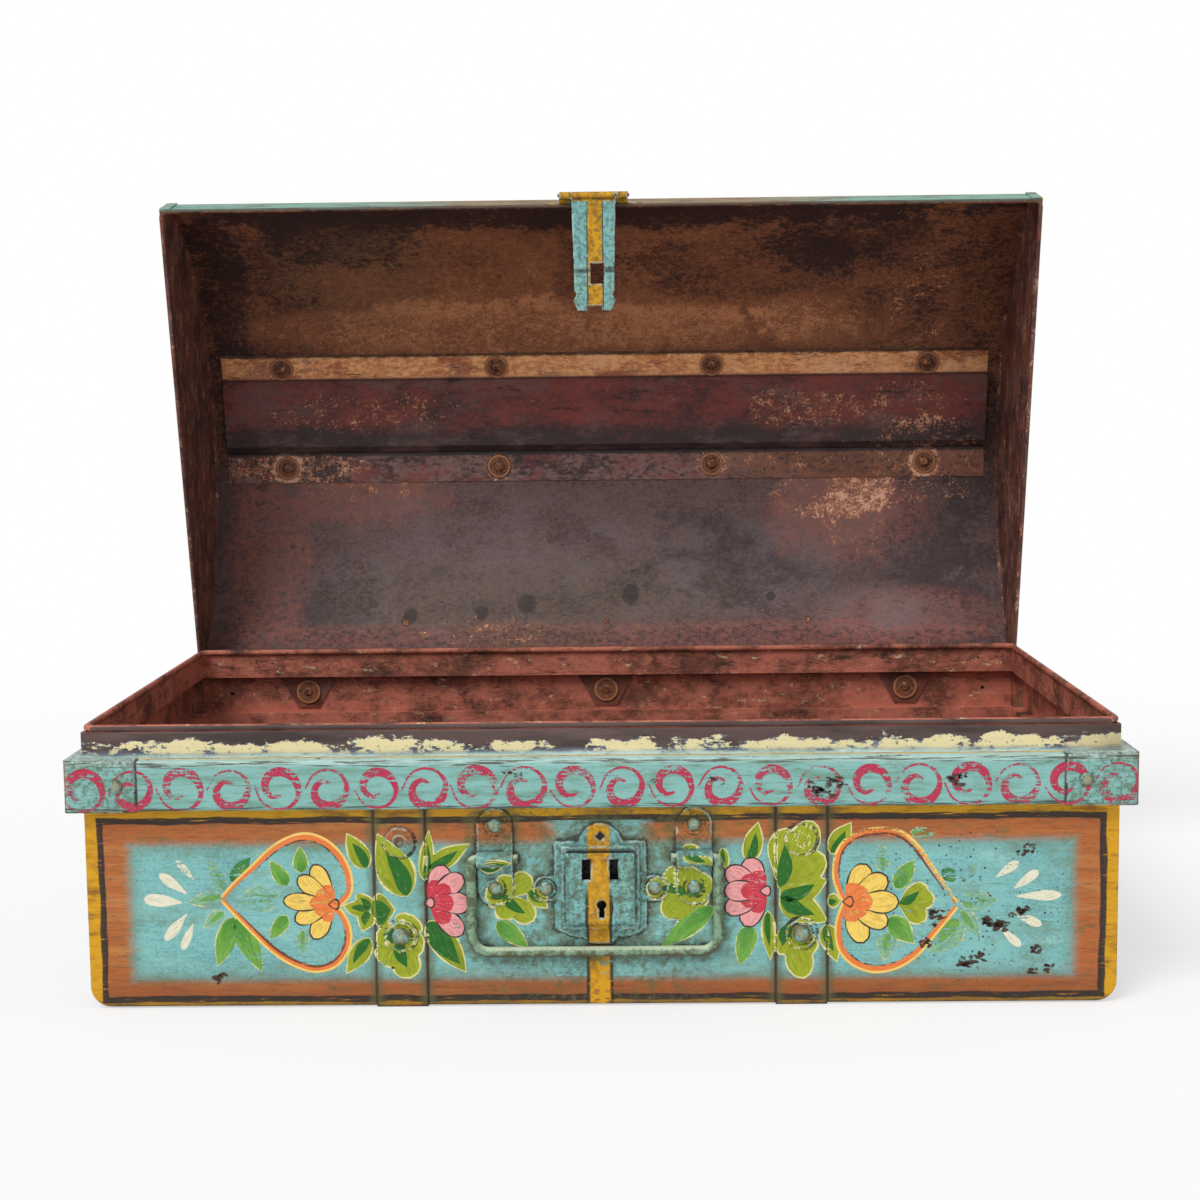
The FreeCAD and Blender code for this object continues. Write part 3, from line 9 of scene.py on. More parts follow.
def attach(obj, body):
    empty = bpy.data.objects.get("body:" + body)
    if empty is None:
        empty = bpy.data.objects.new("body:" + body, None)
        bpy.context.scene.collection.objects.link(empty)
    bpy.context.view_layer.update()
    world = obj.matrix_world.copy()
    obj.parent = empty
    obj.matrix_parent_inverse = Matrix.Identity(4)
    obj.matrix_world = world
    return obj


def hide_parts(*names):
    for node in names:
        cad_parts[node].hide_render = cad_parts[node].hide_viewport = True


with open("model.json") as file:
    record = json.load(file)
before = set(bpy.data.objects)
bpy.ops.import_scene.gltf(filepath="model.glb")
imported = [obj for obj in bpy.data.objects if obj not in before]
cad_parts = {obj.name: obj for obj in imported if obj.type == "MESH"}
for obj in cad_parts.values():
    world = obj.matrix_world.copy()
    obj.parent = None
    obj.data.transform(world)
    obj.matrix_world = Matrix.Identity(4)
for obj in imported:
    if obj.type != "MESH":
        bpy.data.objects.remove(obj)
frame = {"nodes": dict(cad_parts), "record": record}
nodes, record = frame["nodes"], frame["record"]
bodyOf = {node: body for body, members in record["behaviour"]["bodies"].items() for node in members}
slotOf = {row["node"]: row["material_slot"] for row in record["subparts"]}
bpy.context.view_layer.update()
print("frame loaded:", len(nodes), "nodes")

view = {"place": (20.2, -1305.3, 366.1), "turn": -0.934, "down": 6.321, "roll": -0.650, "lens": 60.066, "clip": (0.05, 100)}
studio = {"floorHalf": 40.0, "floorTone": 0.97, "floorGlow": 0.56, "whiteFrom": 0.50, "whiteTo": 1.4, "ambient": 0.56,
          "keyStrength": 1.75, "keySoftness": 28.0, "keyFrom": (-0.55, -0.75, 1.0)}


def shades(table):  # colours as the eye sees them, 0 to 255, made linear
    def linear(level):
        level /= 255
        return level / 12.92 if level <= 0.04045 else ((level + 0.055) / 1.055) ** 2.4
    return {name: (*map(linear, levels), 1.0) for name, levels in table.items()}


def added(name, data):  # a new object in the scene
    made = bpy.data.objects.new(name, data)
    bpy.context.scene.collection.objects.link(made)
    return made


def aimCamera():
    turn, down, roll = (math.radians(view[name]) for name in ("turn", "down", "roll"))
    ahead = Vector((math.sin(turn) * math.cos(down), math.cos(turn) * math.cos(down), -math.sin(down)))
    level = Vector((math.cos(turn), -math.sin(turn), 0))
    upright = level.cross(ahead)
    right = level * math.cos(roll) + upright * math.sin(roll)
    above = upright * math.cos(roll) - level * math.sin(roll)
    camera = added("camera", bpy.data.cameras.new("camera"))
    camera.data.lens = view["lens"]
    camera.data.clip_start, camera.data.clip_end = view["clip"]
    axes = Matrix((right, above, -ahead)).transposed().to_4x4()
    camera.matrix_world = Matrix.Translation(Vector(view["place"]) / 1000) @ axes
    bpy.context.scene.camera = camera


def addNode(tree, kind, settings, values, output=0):  # one node, its settings first, then its links and values
    made = tree.nodes.new(kind)
    for key, setting in settings.items():
        setattr(made, key, setting)
    for place, value in (values.items() if isinstance(values, dict) else enumerate(values)):
        value = value.socket if isinstance(value, Wire) else value
        if isinstance(value, bpy.types.NodeSocket):
            tree.links.new(value, made.inputs[place])
        else:
            made.inputs[place].default_value = value
    return made.outputs[output] if made.outputs else None


class Wire:  # one socket, so that shader maths reads as maths
    def __init__(self, finish, socket):
        self.finish, self.socket = finish, socket

    def maths(self, operation, *values):
        return self.finish.node("ShaderNodeMath", {"operation": operation}, values)

    def __add__(self, other): return self.maths("ADD", self, other)
    def __radd__(self, other): return self.maths("ADD", other, self)
    def __sub__(self, other): return self.maths("SUBTRACT", self, other)
    def __rsub__(self, other): return self.maths("SUBTRACT", other, self)
    def __mul__(self, other): return self.maths("MULTIPLY", self, other)
    def __rmul__(self, other): return self.maths("MULTIPLY", other, self)
    def __truediv__(self, other): return self.maths("DIVIDE", self, other)
    def __rtruediv__(self, other): return self.maths("DIVIDE", other, self)
    def __gt__(self, other): return self.maths("GREATER_THAN", self, other)
    def __lt__(self, other): return self.maths("LESS_THAN", self, other)
    def __abs__(self): return self.maths("ABSOLUTE", self)

    def over(self, colour, mask):  # this colour, with another laid over it where the mask is
        return self.finish.blend(self, colour, mask)

    def stain(self, colour, strength, span, *grain):  # the other colour in the patches of a noise
        return self.over(colour, self.finish.patch(span, *grain) * strength)


class Finish:  # one material and its nodes; lengths in it are millimetres
    def __init__(self, name):
        self.material = bpy.data.materials.new(name)
        self.material.use_nodes = True
        self.tree = self.material.node_tree
        self.tree.nodes.clear()
        seen = self.node("ShaderNodeTexCoord", {}, {}, "Object")
        self.point = self.node("ShaderNodeVectorMath", {"operation": "SCALE"}, {"Vector": seen, "Scale": 1000.0})
        self.x, self.y, self.z = self.split(self.point)

    def node(self, kind, settings, values, output=0):
        return Wire(self, addNode(self.tree, kind, settings, values, output))

    def split(self, vector):
        out = self.node("ShaderNodeSeparateXYZ", {}, [vector]).socket.node.outputs
        return [Wire(self, socket) for socket in out]

    def step(self, value, low, high):  # 0 at low, 1 at high, smooth between
        return self.node("ShaderNodeMapRange", {"interpolation_type": "SMOOTHSTEP"}, [value, low, high, 0.0, 1.0])

    def least(self, first, *rest):
        for value in rest:
            first = first.maths("MINIMUM", first, value)
        return first

    def most(self, first, *rest):
        for value in rest:
            first = first.maths("MAXIMUM", first, value)
        return first

    def spread(self, size, shift, stretch):  # texture coordinates whose grain is size mm
        scale = tuple(1 / (size * part) for part in stretch)
        return self.node("ShaderNodeVectorMath", {"operation": "MULTIPLY_ADD"},
                         [self.point, scale, (shift, shift * 0.7, shift * 1.3)])

    def noise(self, size, shift=0, detail=3, rough=0.55, stretch=(1, 1, 1)):  # shift takes it to another part of the noise
        return self.node("ShaderNodeTexNoise", {"noise_dimensions": "3D"},
                         {"Vector": self.spread(size, shift, stretch), "Scale": 1.0, "Detail": detail, "Roughness": rough})

    def patch(self, span, *grain):  # patches where a noise passes from span's first value to its second
        return self.step(self.noise(*grain), *span)

    def waver(self, reach, *grain):  # a noise about 0, reach from end to end
        return (self.noise(*grain) - 0.5) * reach

    def cells(self, size, shift):
        return self.node("ShaderNodeTexVoronoi", {}, {"Vector": self.spread(size, shift, (1, 1, 1)), "Scale": 1.0})

    def blend(self, first, second, mask):  # colours are wires, values or names in tones
        first, second = (tones[colour] if isinstance(colour, str) else colour for colour in (first, second))
        return self.node("ShaderNodeMix", {"data_type": "RGBA"}, {0: mask, 6: first, 7: second}, 2)

    def read(self, name, output="Fac"):
        return self.node("ShaderNodeAttribute", {"attribute_name": name}, {}, output)

    def spot(self, across, along, place, size, warp):  # soft-edged patch, 1 at its middle
        a, b = (across - place[0]) / size[0], (along - place[1]) / size[1]
        return self.step(a * a + b * b + warp, 1.25, 0.55)

    def close(self, colour, rough, height, metal=0.0, depth=0.3, gloss=0.4, **more):
        bump = self.node("ShaderNodeBump", {}, {"Strength": 1.0, "Distance": depth / 1000, "Height": height})
        values = {"Base Color": colour, "Roughness": rough, "Metallic": metal, "Specular IOR Level": gloss, "Normal": bump}
        self.node("ShaderNodeOutputMaterial", {},
                  {"Surface": self.node("ShaderNodeBsdfPrincipled", {}, {**values, **more})})
        return self.material


tones = shades({
    "teal": (130, 190, 188), "tealDeep": (102, 160, 158), "tealPale": (164, 214, 210), "tealGrime": (112, 140, 116),
    "olive": (90, 92, 54), "mustard": (214, 156, 4), "mustardDark": (136, 90, 18), "orange": (180, 94, 28),
    "orangePale": (192, 126, 60), "orangeDark": (122, 64, 28), "line": (34, 28, 25), "bandTeal": (134, 186, 180),
    "bandGreen": (112, 158, 142), "bandPale": (200, 226, 216), "worn": (66, 48, 38), "neck": (88, 68, 64),
    "neckDark": (58, 44, 42), "cream": (232, 216, 166), "slate": (118, 132, 150), "rust": (108, 62, 46),
    "rustDark": (50, 29, 26), "rustBrown": (134, 82, 54), "rustTan": (206, 138, 94), "maroon": (134, 64, 56),
    "plum": (112, 86, 82), "plumDark": (60, 44, 45), "pink": (240, 184, 156), "speck": (28, 22, 20), "red": (158, 88, 74),
    "oliveRust": (98, 86, 60), "steelGrey": (138, 130, 136), "wallRed": (194, 112, 92), "bailDark": (84, 102, 74),
    "bailGreen": (126, 158, 130), "bailPale": (206, 218, 188), "bailDirtAndShade": (84, 74, 42), "rivetDark": (92, 94, 70),
    "rivetPale": (176, 182, 154), "tan": (214, 136, 82), "tanLight": (255, 190, 128), "plumPale": (138, 104, 98),
    "steel": (120, 104, 88), "steelDark": (58, 44, 36),
})

tub = {"endX": 299.6, "lineX": 292.0, "lineY": 155.0, "lineTop": 112.0, "lineLow": 5.7,
       "fadeSide": 15.0, "fadeTop": 12.8, "fadeLow": 9.6, "bandLow": 119.7, "bandTop": 149.4,
       "capEdge": 268.0, "strapX": 117.0, "strapHalf": 15.0, "stripeX": -0.95, "stripeHalf": 6.4, "stripeTop": 37.0}


def teal(f):
    drag = f.noise(7, 0, 5, 0.68, (5, 5, 0.14))
    cloud = f.noise(40, 3)
    weave = f.noise(1.1, 5, 3, 0.7, (1.5, 1.5, 0.9))
    colour = f.blend("tealDeep", "teal", f.step(drag * 0.16 + cloud * 0.38 + weave * 0.46, 0.38, 0.55))
    colour = colour.stain("tealPale", 0.6, (0.52, 0.78), 24, 7, 5, 0.7, (1.8, 1.8, 0.5))
    colour = colour.stain("tealGrime", 0.55, (0.50, 0.66), 17, 8, 6, 0.74, (1.6, 1.6, 0.7))
    colour = colour.stain("olive", 0.5, (0.57, 0.68), 1.7, 9, 5, 0.8, (1.5, 1.5, 0.9))
    return colour, drag


def framePaint(f, colour, side, up, high, low, wobble):
    # mustard margin, black line, orange edge that fades into the teal
    top, bottom = high - up, up - low
    edge = f.least(side, top, bottom + 0.5) + wobble
    soft = f.least(side / tub["fadeSide"], top / tub["fadeTop"], bottom / tub["fadeLow"])
    ragged = f.noise(9, 11, 6, 0.72, (5, 5, 0.28)) - 0.5
    dust = f.noise(3.0, 12, 5, 0.75) - 0.5
    orange = f.blend("orange", "orangePale", f.patch((0.46, 0.72), 30, 5, 4, 0.65, (3, 3, 0.3)) * 0.8)
    orange = orange.stain("orangeDark", 0.7, (0.47, 0.66), 3, 6, 6, 0.78, (4, 4, 0.45))
    orange = orange.stain("olive", 0.6, (0.51, 0.64), 12, 14, 6, 0.78, (2, 2, 0.6))
    colour = colour.over("olive", f.step(soft + ragged * 0.5 + dust * 0.5, 1.85, 1.0) * 0.38)
    colour = colour.over(orange, f.step(soft + ragged * 0.35 + dust * 0.5, 1.36, 0.78) * 0.95)
    # the foot of every wall is dirtier
    dirt = f.step(up + f.waver(26, 11, 15, 6, 0.78, (2.5, 2.5, 0.7)), low + 24, low - 4)
    colour = colour.over("orangeDark", dirt * 0.55)
    mustard = f.blend("mustard", "mustardDark", f.patch((0.46, 0.70), 14, 9, 5, 0.7, (2, 2, 0.5)) * 0.9)
    mustard = mustard.stain("olive", 0.6, (0.56, 0.70), 2.5, 10, 5, 0.75, (3, 3, 0.4))
    mustard = mustard.over("worn", f.step(up + dust * 5, low - 2.6, low - 5.6) * 0.7)
    mustard = mustard.over("mustardDark", f.step(up + ragged * 9, low + 1.0, low - 3.0) * 0.7)
    mustard = mustard.over("olive", f.step(up + dust * 6, low - 0.5, low - 4.5) * f.step(ragged, -0.06, 0.08) * 0.6)
    colour = colour.over(mustard, f.step(edge, 0.3, -0.3))
    thick = 1.05 + f.noise(22, 2, 3, 0.6) * 1.7
    line = f.step(abs(edge) / thick, 1.25, 0.8) * f.patch((0.32, 0.42), 4, 21, 4, 0.7, (6, 6, 0.4))
    return colour.over("line", line * 0.96)


def rustPaint(f, drift=0.0):
    warp = f.noise(38, drift, 8, 0.72, (1.4, 1, 1))
    colour = f.blend("rustDark", "rust", f.step(warp, 0.36, 0.52))
    colour = colour.stain("maroon", 0.8, (0.5, 0.68), 16, drift + 4, 6, 0.72, (1.5, 1, 1))
    colour = colour.stain("rustTan", 0.6, (0.56, 0.70), 12, drift + 8, 7, 0.8, (2, 1, 1))
    return colour, warp


def haspPaint(f):  # teal, greener below its bend, with the mustard stripe; its fixed leaf has mustard tips
    colour, _ = teal(f)
    colour = colour.over("bandTeal", f.step(f.z, 448, 438) * 0.7)
    colour = colour.stain("olive", 0.6, (0.56, 0.68), 3, 91, 5, 0.75)
    knuckle = f.most(f.step(f.z, 486.5, 487.5), f.step(abs(f.x + 4), 17.5, 18.5))
    stripe = f.step(abs(f.x + 3.3) + f.waver(1.2, 9, 92, 2), 5.2, 4.6)
    colour = colour.over("line", f.step(abs(abs(f.x + 3.3) - 5.2), 0.9, 0.4) * f.patch((0.34, 0.44), 4, 93) * 0.85)
    mustard = f.blend("mustard", "mustardDark", f.patch((0.46, 0.7), 7, 94, 4) * 0.7)
    colour = colour.over(mustard, f.most(stripe, knuckle))
    colour = colour.over("line", f.step(abs(f.x + 4) + f.waver(5, 5, 95), 31, 34) * 0.9)
    return colour.over("worn", f.patch((0.60, 0.68), 4, 96, 5, 0.75, (2, 2, 0.5)) * 0.7)


def tubPaint(name, fitting=False, onLid=False, skin=0.0, wall=False):
    f = Finish(name)
    x, y, z = f.x, f.y, f.z
    ax, ay = abs(x), abs(y)
    colour, drag = teal(f)
    fine = f.noise(1.3, 0, 4, 0.6)
    pits = f.patch((0.60, 0.70), 2.6, 31, 4, 0.7)
    onEnd = ax > tub["endX"]
    side = (tub["lineX"] - ax) * (1 - onEnd) + (tub["lineY"] - ay) * onEnd
    wobble = f.waver(3.0, 30, 1, 2)
    framed = framePaint(f, colour, side, z, tub["lineTop"], tub["lineLow"], wobble)
    nearLock = f.step(abs(x + 1) + f.waver(20, 9), 34, 20) * (z < 111) * (z > 18) * (y < 0)
    colour = framed.over(colour, nearLock)  # bare teal behind the lock
    mid = f.step(abs(x + 3) + f.waver(40, 14, 5), 95, 40) * (y < 0)  # greener and dirtier round the lock
    colour = colour.over("olive", mid * f.patch((0.46, 0.66), 4.5, 13, 5, 0.72) * 0.75)
    stripeAt = abs(x - tub["stripeX"]) + f.waver(1.6, 12, 6, 2)
    low = (z < (200.0 if fitting else tub["stripeTop"])) * (y < -160)
    worn = f.patch((0.36, 0.46), 6, 17, 4, 0.6, (1, 1, 0.5))
    mustard = f.blend("mustard", "mustardDark", f.patch((0.5, 0.72), 7, 8, 4) * 0.7)
    keep = worn * 0.15 + 0.85 if fitting else worn * 0.75 + 0.25
    stripe = f.step(stripeAt, tub["stripeHalf"] + 0.3, tub["stripeHalf"] - 0.3) * low
    colour = colour.over(mustard, stripe * keep)
    border = f.step(abs(stripeAt - tub["stripeHalf"] - 0.5), 1.3, 0.7) * low * f.step(z + (fine - 0.5) * 8, 74, 66) * worn
    colour = colour.over("line", border * 0.9)
    # grime gathers round whatever is riveted on, mixed with painted contact shade and a painted shadow line at the
    # fittings' edges
    front = (y < -162.5) * (z < tub["bandLow"])
    blur = f.noise(8, 55, 5, 0.72) - 0.5
    if wall:
        halo = f.read("fitGap")
        # olive halo round the fittings: grime and painted contact shade
        colour = colour.over("olive", f.step(halo + blur * 30, 9.5, 0) * front * 0.7)
        # painted shadow: a dark line on the wall at the edges of the fittings
        colour = colour.over("line", f.step(halo + (fine - 0.5) * 3.0 + blur * 6, 2.4, 0.9) * front * 0.7)
        # painted shade: dark on the wall in the diamond hole of the lock plate's top tab
        diamond = abs(x + 0.7) + abs(z - 101.4)
        colour = colour.over("speck", f.step(diamond, 6, 4) * front * 0.9)
        dots = f.step(f.cells(3.4, shift=6), 0.24, 0.16) * f.patch((0.46, 0.54), 12, 56, 4, 0.7)
        colour = colour.over("speck", dots * f.spot(x, z, (212, 62), (60, 44), blur) * front * 0.9)
    # sheet edges rubbed to the metal
    rim = abs(abs(ax - tub["strapX"]) - tub["strapHalf"]) + f.waver(1.2, 8, 14)
    onWall = (ay > 162.6) * (z < tub["bandLow"])
    colour = colour.over("olive", f.step(rim + blur * 7, 7.0, 0.5) * onWall * 0.7)
    colour = colour.over("worn", f.step(rim, 1.5, 0.5) * onWall * f.patch((0.22, 0.40), 6, 16, 3, 0.6, (1, 1, 3)) * 0.92)
    foot = f.step(z + f.waver(9, 12, 18, 4, 0.6), 2.2, 0.4)
    hem = f.step(ax + f.waver(3.4, 7, 19, 4), 300.6, 301.4) * onWall
    colour = colour.over("worn", f.most(foot, hem) * 0.8)
    scratch = f.patch((0.62, 0.70), 5, 23, 5, 0.7, (6, 6, 0.14))
    colour = colour.over("worn", f.most(scratch * 0.35, pits * 0.25))
    colour = colour.over("speck", f.step(f.cells(5, shift=2), 0.10, 0.05) * f.patch((0.52, 0.62), 30, 24, 2) * 0.8)
    # the formed band round the mouth
    band = (z > tub["bandLow"]) * (z < tub["bandTop"]) * f.most(ay > 163.6, ax > 301.6)
    bandColour = f.blend("bandTeal", "bandGreen", f.patch((0.44, 0.7), 12, 25, 4, 0.65, (3, 3, 0.35)))
    # painted highlight: the band paler along its top edge
    bandColour = bandColour.over("bandPale", f.step(z + (drag - 0.5) * 8, 144, 148.6) * 0.6)
    rub = f.noise(6, 27, 5, 0.7, (5, 5, 0.16))
    lipRub = f.most(f.step(z, 143.5, 147) * f.step(z, 149.2, 148.4), f.step(z, 124.0, 121.0))
    bandColour = bandColour.over("worn", f.step(rub + lipRub * 0.13, 0.61, 0.67) * 0.85)
    bandColour = bandColour.stain("olive", 0.5, (0.52, 0.72), 10, 28, 5, 0.7, (2, 2, 0.4))
    seamAt = f.least(abs(ax - tub["capEdge"]) + (ay < 165) * 99, abs(ay - 130) + (ax < 303) * 99)
    bandColour = bandColour.over("worn", f.step(seamAt + (fine - 0.5) * 1.2, 1.5, 0.5) * 0.85)
    colour = colour.over(bandColour, band)
    # the neck above it: brown, with the old cream paint left along its foot, and a painted highlight in slate and pale
    # next to the band
    neck = (z > tub["bandTop"])
    neckColour = f.blend("neck", "neckDark", f.patch((0.42, 0.66), 24, 33, 4, 0.6, (3, 3, 0.5)))
    flake = f.noise(11, 35, 6, 0.68, (1.7, 1.7, 0.75)) + f.step(abs(z - 154.0), 11.0, 1.0) * 0.28
    flake = flake + f.waver(0.55, 55, 37, 2, 0.6)
    neckFootHighlight = f.step(z + f.waver(4, 18, 38), 152.4, 150.2)
    neckColour = neckColour.over("slate", f.step(flake, 0.69, 0.73) * 0.8)
    neckColour = neckColour.over("cream", f.step(flake + f.noise(2.6, 36, 5, 0.78) * 0.30, 0.875, 0.895))
    neckColour = neckColour.over("speck", f.step(flake, 0.70, 0.74) * f.patch((0.62, 0.7), 3, 39) * 0.7)
    # painted highlight along the neck's foot: slate below the cream, then the band's pale colour
    neckColour = neckColour.over("slate", f.step(z + (flake - 0.7) * 6, 154.5, 151.5) * 0.65)
    neckColour = neckColour.over("bandPale", neckFootHighlight * 0.75)
    # painted highlight: slate along the rolled top edge of the neck
    neckColour = neckColour.over("slate", f.step(z, 168.4, 170.5) * 0.5)
    colour = colour.over(neckColour, neck)
    # bare rusted steel inside and below
    rust, _ = rustPaint(f)
    red = rust.over("wallRed", f.patch((0.36, 0.58), 26, 41, 6, 0.74, (1.3, 1.3, 1)) * f.step(z, 30, 90) * 0.9)
    red = red.stain("rustDark", 0.55, (0.54, 0.68), 14, 43, 6, 0.76, (1.5, 1.5, 0.9))
    red = red.over("speck", f.patch((0.54, 0.64), 9, 46, 6, 0.78, (2.4, 2.4, 0.6)) * f.step(z, 112, 150) * 0.75)
    red = red.over("rustTan",
                   f.step(f.noise(7, 47, 6, 0.8, (2, 2, 1)) * 0.55 + f.noise(1.9, 48, 4, 0.8) * 0.45, 0.54, 0.61) * 0.5)
    red = red.over("cream", f.patch((0.59, 0.66), 5, 45, 6, 0.8, (2, 2, 1)) * f.step(z, 100, 135) * 0.6)
    within = f.most((ax < 299.5) * (ay < 162.5), (ax < 308.7 + skin) * (ay < 170.7 + skin) * (z > 120.5 - skin)
                    * (z < 148.5 + skin))
    if onLid:
        colour, within = haspPaint(f), 0.0
    else:
        colour = colour.over(red, within)
    height = drag * 0.5 + fine * 0.25 + f.step(flake, 0.69, 0.73) * neck * 0.8 - pits * 0.5 - scratch * 0.3
    rough = 0.42 + f.noise(8, 50) * 0.22 + within * 0.14 + pits * 0.1
    if fitting:
        gap, crease = f.read("edgeGap"), f.read("creaseGap")
        ragged = (f.noise(2.2, 52, 4, 0.65) - 0.5)
        spots = f.patch((0.48, 0.62), 3.2, 53, 5, 0.72)
        dirt = f.patch((0.56, 0.66), 1.6, 54, 5, 0.8)
        colour = colour.over("olive", f.most(spots * 0.6, dirt * 0.8) * (1 - stripe * 0.6))
        # painted shade with grime: dark in the creases of the fittings
        colour = colour.over("speck", f.step(crease + ragged * 2.6, 1.9, 0.3) * f.patch((0.34, 0.50), 10, 59) * 0.65)
        # painted highlight with rubbed paint: pale along the fittings' edges
        colour = colour.over("bandPale", f.step(gap + ragged * 3.2, 1.5, 0.5) * f.patch((0.40, 0.52), 9, 57) * 0.5)
        colour = colour.over("worn", f.step(gap + ragged * 4.0, 0.7, 0.05) * f.patch((0.44, 0.54), 8, 58) * 0.85)
        # painted shade: dark inside the lock case, seen through the keyhole and slots
        hollow = (y > -172.6) * (y < -164.0) * (abs(x) < 19.6) * (abs(z - 71.65) < 22.0)
        colour = colour.over("speck", hollow * 0.95)
        height = height - f.step(gap, 0.9, 0.0) * 1.2 - spots * 0.7 - dirt * 0.5 + f.step(crease, 1.6, 0.0) * 0.5
        rough = rough - 0.08 + spots * 0.14
    return f.close(colour, rough, height, depth=0.32)


def bailPaint(name):
    f = Finish(name)
    lift = f.read("lift")
    grime = f.noise(6, 61, 5, 0.72)
    spots = f.noise(2.2, 62, 5, 0.75)
    colour = f.blend("bailDark", "bailGreen", f.step(grime, 0.42, 0.56))
    # painted highlight: the bail paler where it faces up
    colour = colour.over("bailPale", f.step(lift + (spots - 0.5) * 1.6, 0.25, 0.85) * 0.8)
    # painted shade with dirt: the bail darker where it faces down
    colour = colour.over("bailDirtAndShade", f.step(lift + (grime - 0.5) * 2.6, 0.0, -0.6) * 0.85)
    colour = colour.over("worn", f.step(spots, 0.59, 0.68) * 0.8)
    return f.close(colour, 0.28 + grime * 0.25, spots, depth=0.3, gloss=0.5)


def rivetPaint(name):
    f = Finish(name)
    rise, rusty = f.read("rise"), f.read("rusty")
    grime = f.noise(2.2, 0, 5, 0.72)
    # painted highlight with rubbed paint: the domes paler towards the top
    painted = f.blend("rivetDark", "rivetPale", f.step(rise + (grime - 0.5) * 1.6, 0.55, 1.1))
    painted = painted.over("teal", f.step(f.noise(4, 3, 4) - rise * 0.06, 0.44, 0.54) * 0.6)
    painted = painted.over("olive", f.step(grime, 0.48, 0.62) * 0.75)
    rust = f.blend("rustBrown", "rustDark", f.step(grime, 0.42, 0.60))
    rust = rust.stain("rustTan", 0.7, (0.52, 0.66), 3, 5, 5, 0.75)
    colour = painted.over(rust, rusty)
    # dirt and painted shade: dark round the foot of each dome
    colour = colour.over("speck", f.step(rise + (grime - 0.5) * 0.5, 0.24, 0.02) * 0.85)
    return f.close(colour, 0.26 + grime * 0.3, grime, metal=0.3, depth=0.3)


def washerPaint(name):
    f = Finish(name)
    gap, crease = f.read("edgeGap"), f.read("creaseGap")
    grime = f.noise(3, 0, 6, 0.78)
    colour = f.blend("rustDark", "rustBrown", f.step(grime, 0.36, 0.56))
    colour = colour.over("rustTan", f.step(gap + (grime - 0.5) * 4, 2.2, 0.6) * 0.75)
    colour = colour.over("speck", f.step(gap + (grime - 0.5) * 1.5, 0.5, 0.1) * 0.8)
    return f.close(colour, 0.45 + grime * 0.25, grime, depth=0.3)


lidSet = {"hingeY": 174.7, "hingeZ": 150.0, "open": 76.5, "half": 170.0, "spring": 30.1, "rise": 88.0}
lidSet["radius"] = (lidSet["half"] ** 2 + lidSet["rise"] ** 2) / (2 * lidSet["rise"])
lidSet["archZ"] = lidSet["spring"] + lidSet["rise"] - lidSet["radius"]


def lidFrame(f):  # v runs over the lid from its front edge to its hinge, w stands up from its rim
    turn = math.radians(lidSet["open"])
    dy, dz = f.y - lidSet["hingeY"], f.z - lidSet["hingeZ"]
    v = dy * math.cos(turn) - dz * math.sin(turn) + lidSet["hingeY"]
    w = dy * math.sin(turn) + dz * math.cos(turn)
    return v, w


lidStains = {  # across, down the lid, half widths, how much lighter (+) or darker (-)
    "heat": [((-60, -62), (240, 24), 0.11), ((-120, -110), (90, 40), 0.05), ((60, -105), (120, 50), 0.05),
             ((160, -66), (60, 24), 0.06),
             ((-20, -158), (300, 14), -0.10), ((-285, -100), (20, 80), -0.06), ((-235, -60), (40, 34), -0.03),
             ((215, -76), (34, 22), -0.04), ((110, -112), (90, 34), -0.05),
             ((190, -128), (90, 26), -0.06), ((-10, -100), (24, 40), -0.05), ((236, -80), (30, 60), 0.04),
             ((-190, -140), (50, 26), -0.08),
             ((-190, 66), (60, 20), 0.10), ((-262, 110), (26, 70), 0.04), ((182, 76), (48, 30), 0.14),
             ((158, 96), (34, 26), 0.08),
             ((250, 80), (40, 60), -0.05), ((110, 112), (70, 34), -0.045), ((-40, 152), (130, 20), -0.02),
             ((-206, 146), (26, 18), -0.06),
             ((210, 148), (50, 16), 0.06), ((0, 166), (320, 8), -0.08), ((288, 60), (22, 120), -0.05),
             ((-288, 40), (22, 140), -0.04), ((200, 110), (90, 40), -0.03)],
    "red": [((-190, 70), (70, 26), 0.7), ((-262, 110), (34, 60), 0.8), ((186, 84), (70, 36), 0.7),
            ((0, 162), (320, 9), 0.7),
            ((230, 152), (70, 16), 0.5), ((-280, -40), (30, 120), 0.4)],
    "greyPatinaAndSheen": [((-90, 100), (110, 40), 0.5), ((110, 120), (70, 34), 0.7), ((205, 150), (46, 14), 0.9),
             ((-196, 134), (34, 24), 0.8), ((30, 120), (70, 40), 0.4)],
    "olive": [((-60, 142), (150, 30), 0.8), ((-180, -108), (60, 44), 0.6)],
    "chips": [((176, 68), (56, 22), 0.065), ((192, 90), (32, 26), 0.055), ((250, 66), (40, 14), 0.06),
              ((-190, 58), (60, 14), 0.06), ((150, -64), (50, 20), 0.055), ((238, -84), (26, 60), 0.05),
              ((-60, -56), (220, 12), 0.03), ((-262, 130), (30, 40), 0.02), ((-100, 158), (60, 8), 0.06)],
    "ovals": [((-61, 143), (8, 6)), ((19, 138), (7, 7)), ((-95, 148), (5, 5)), ((126, 140), (4, 3)), ((-150, 150), (6, 5))],
}


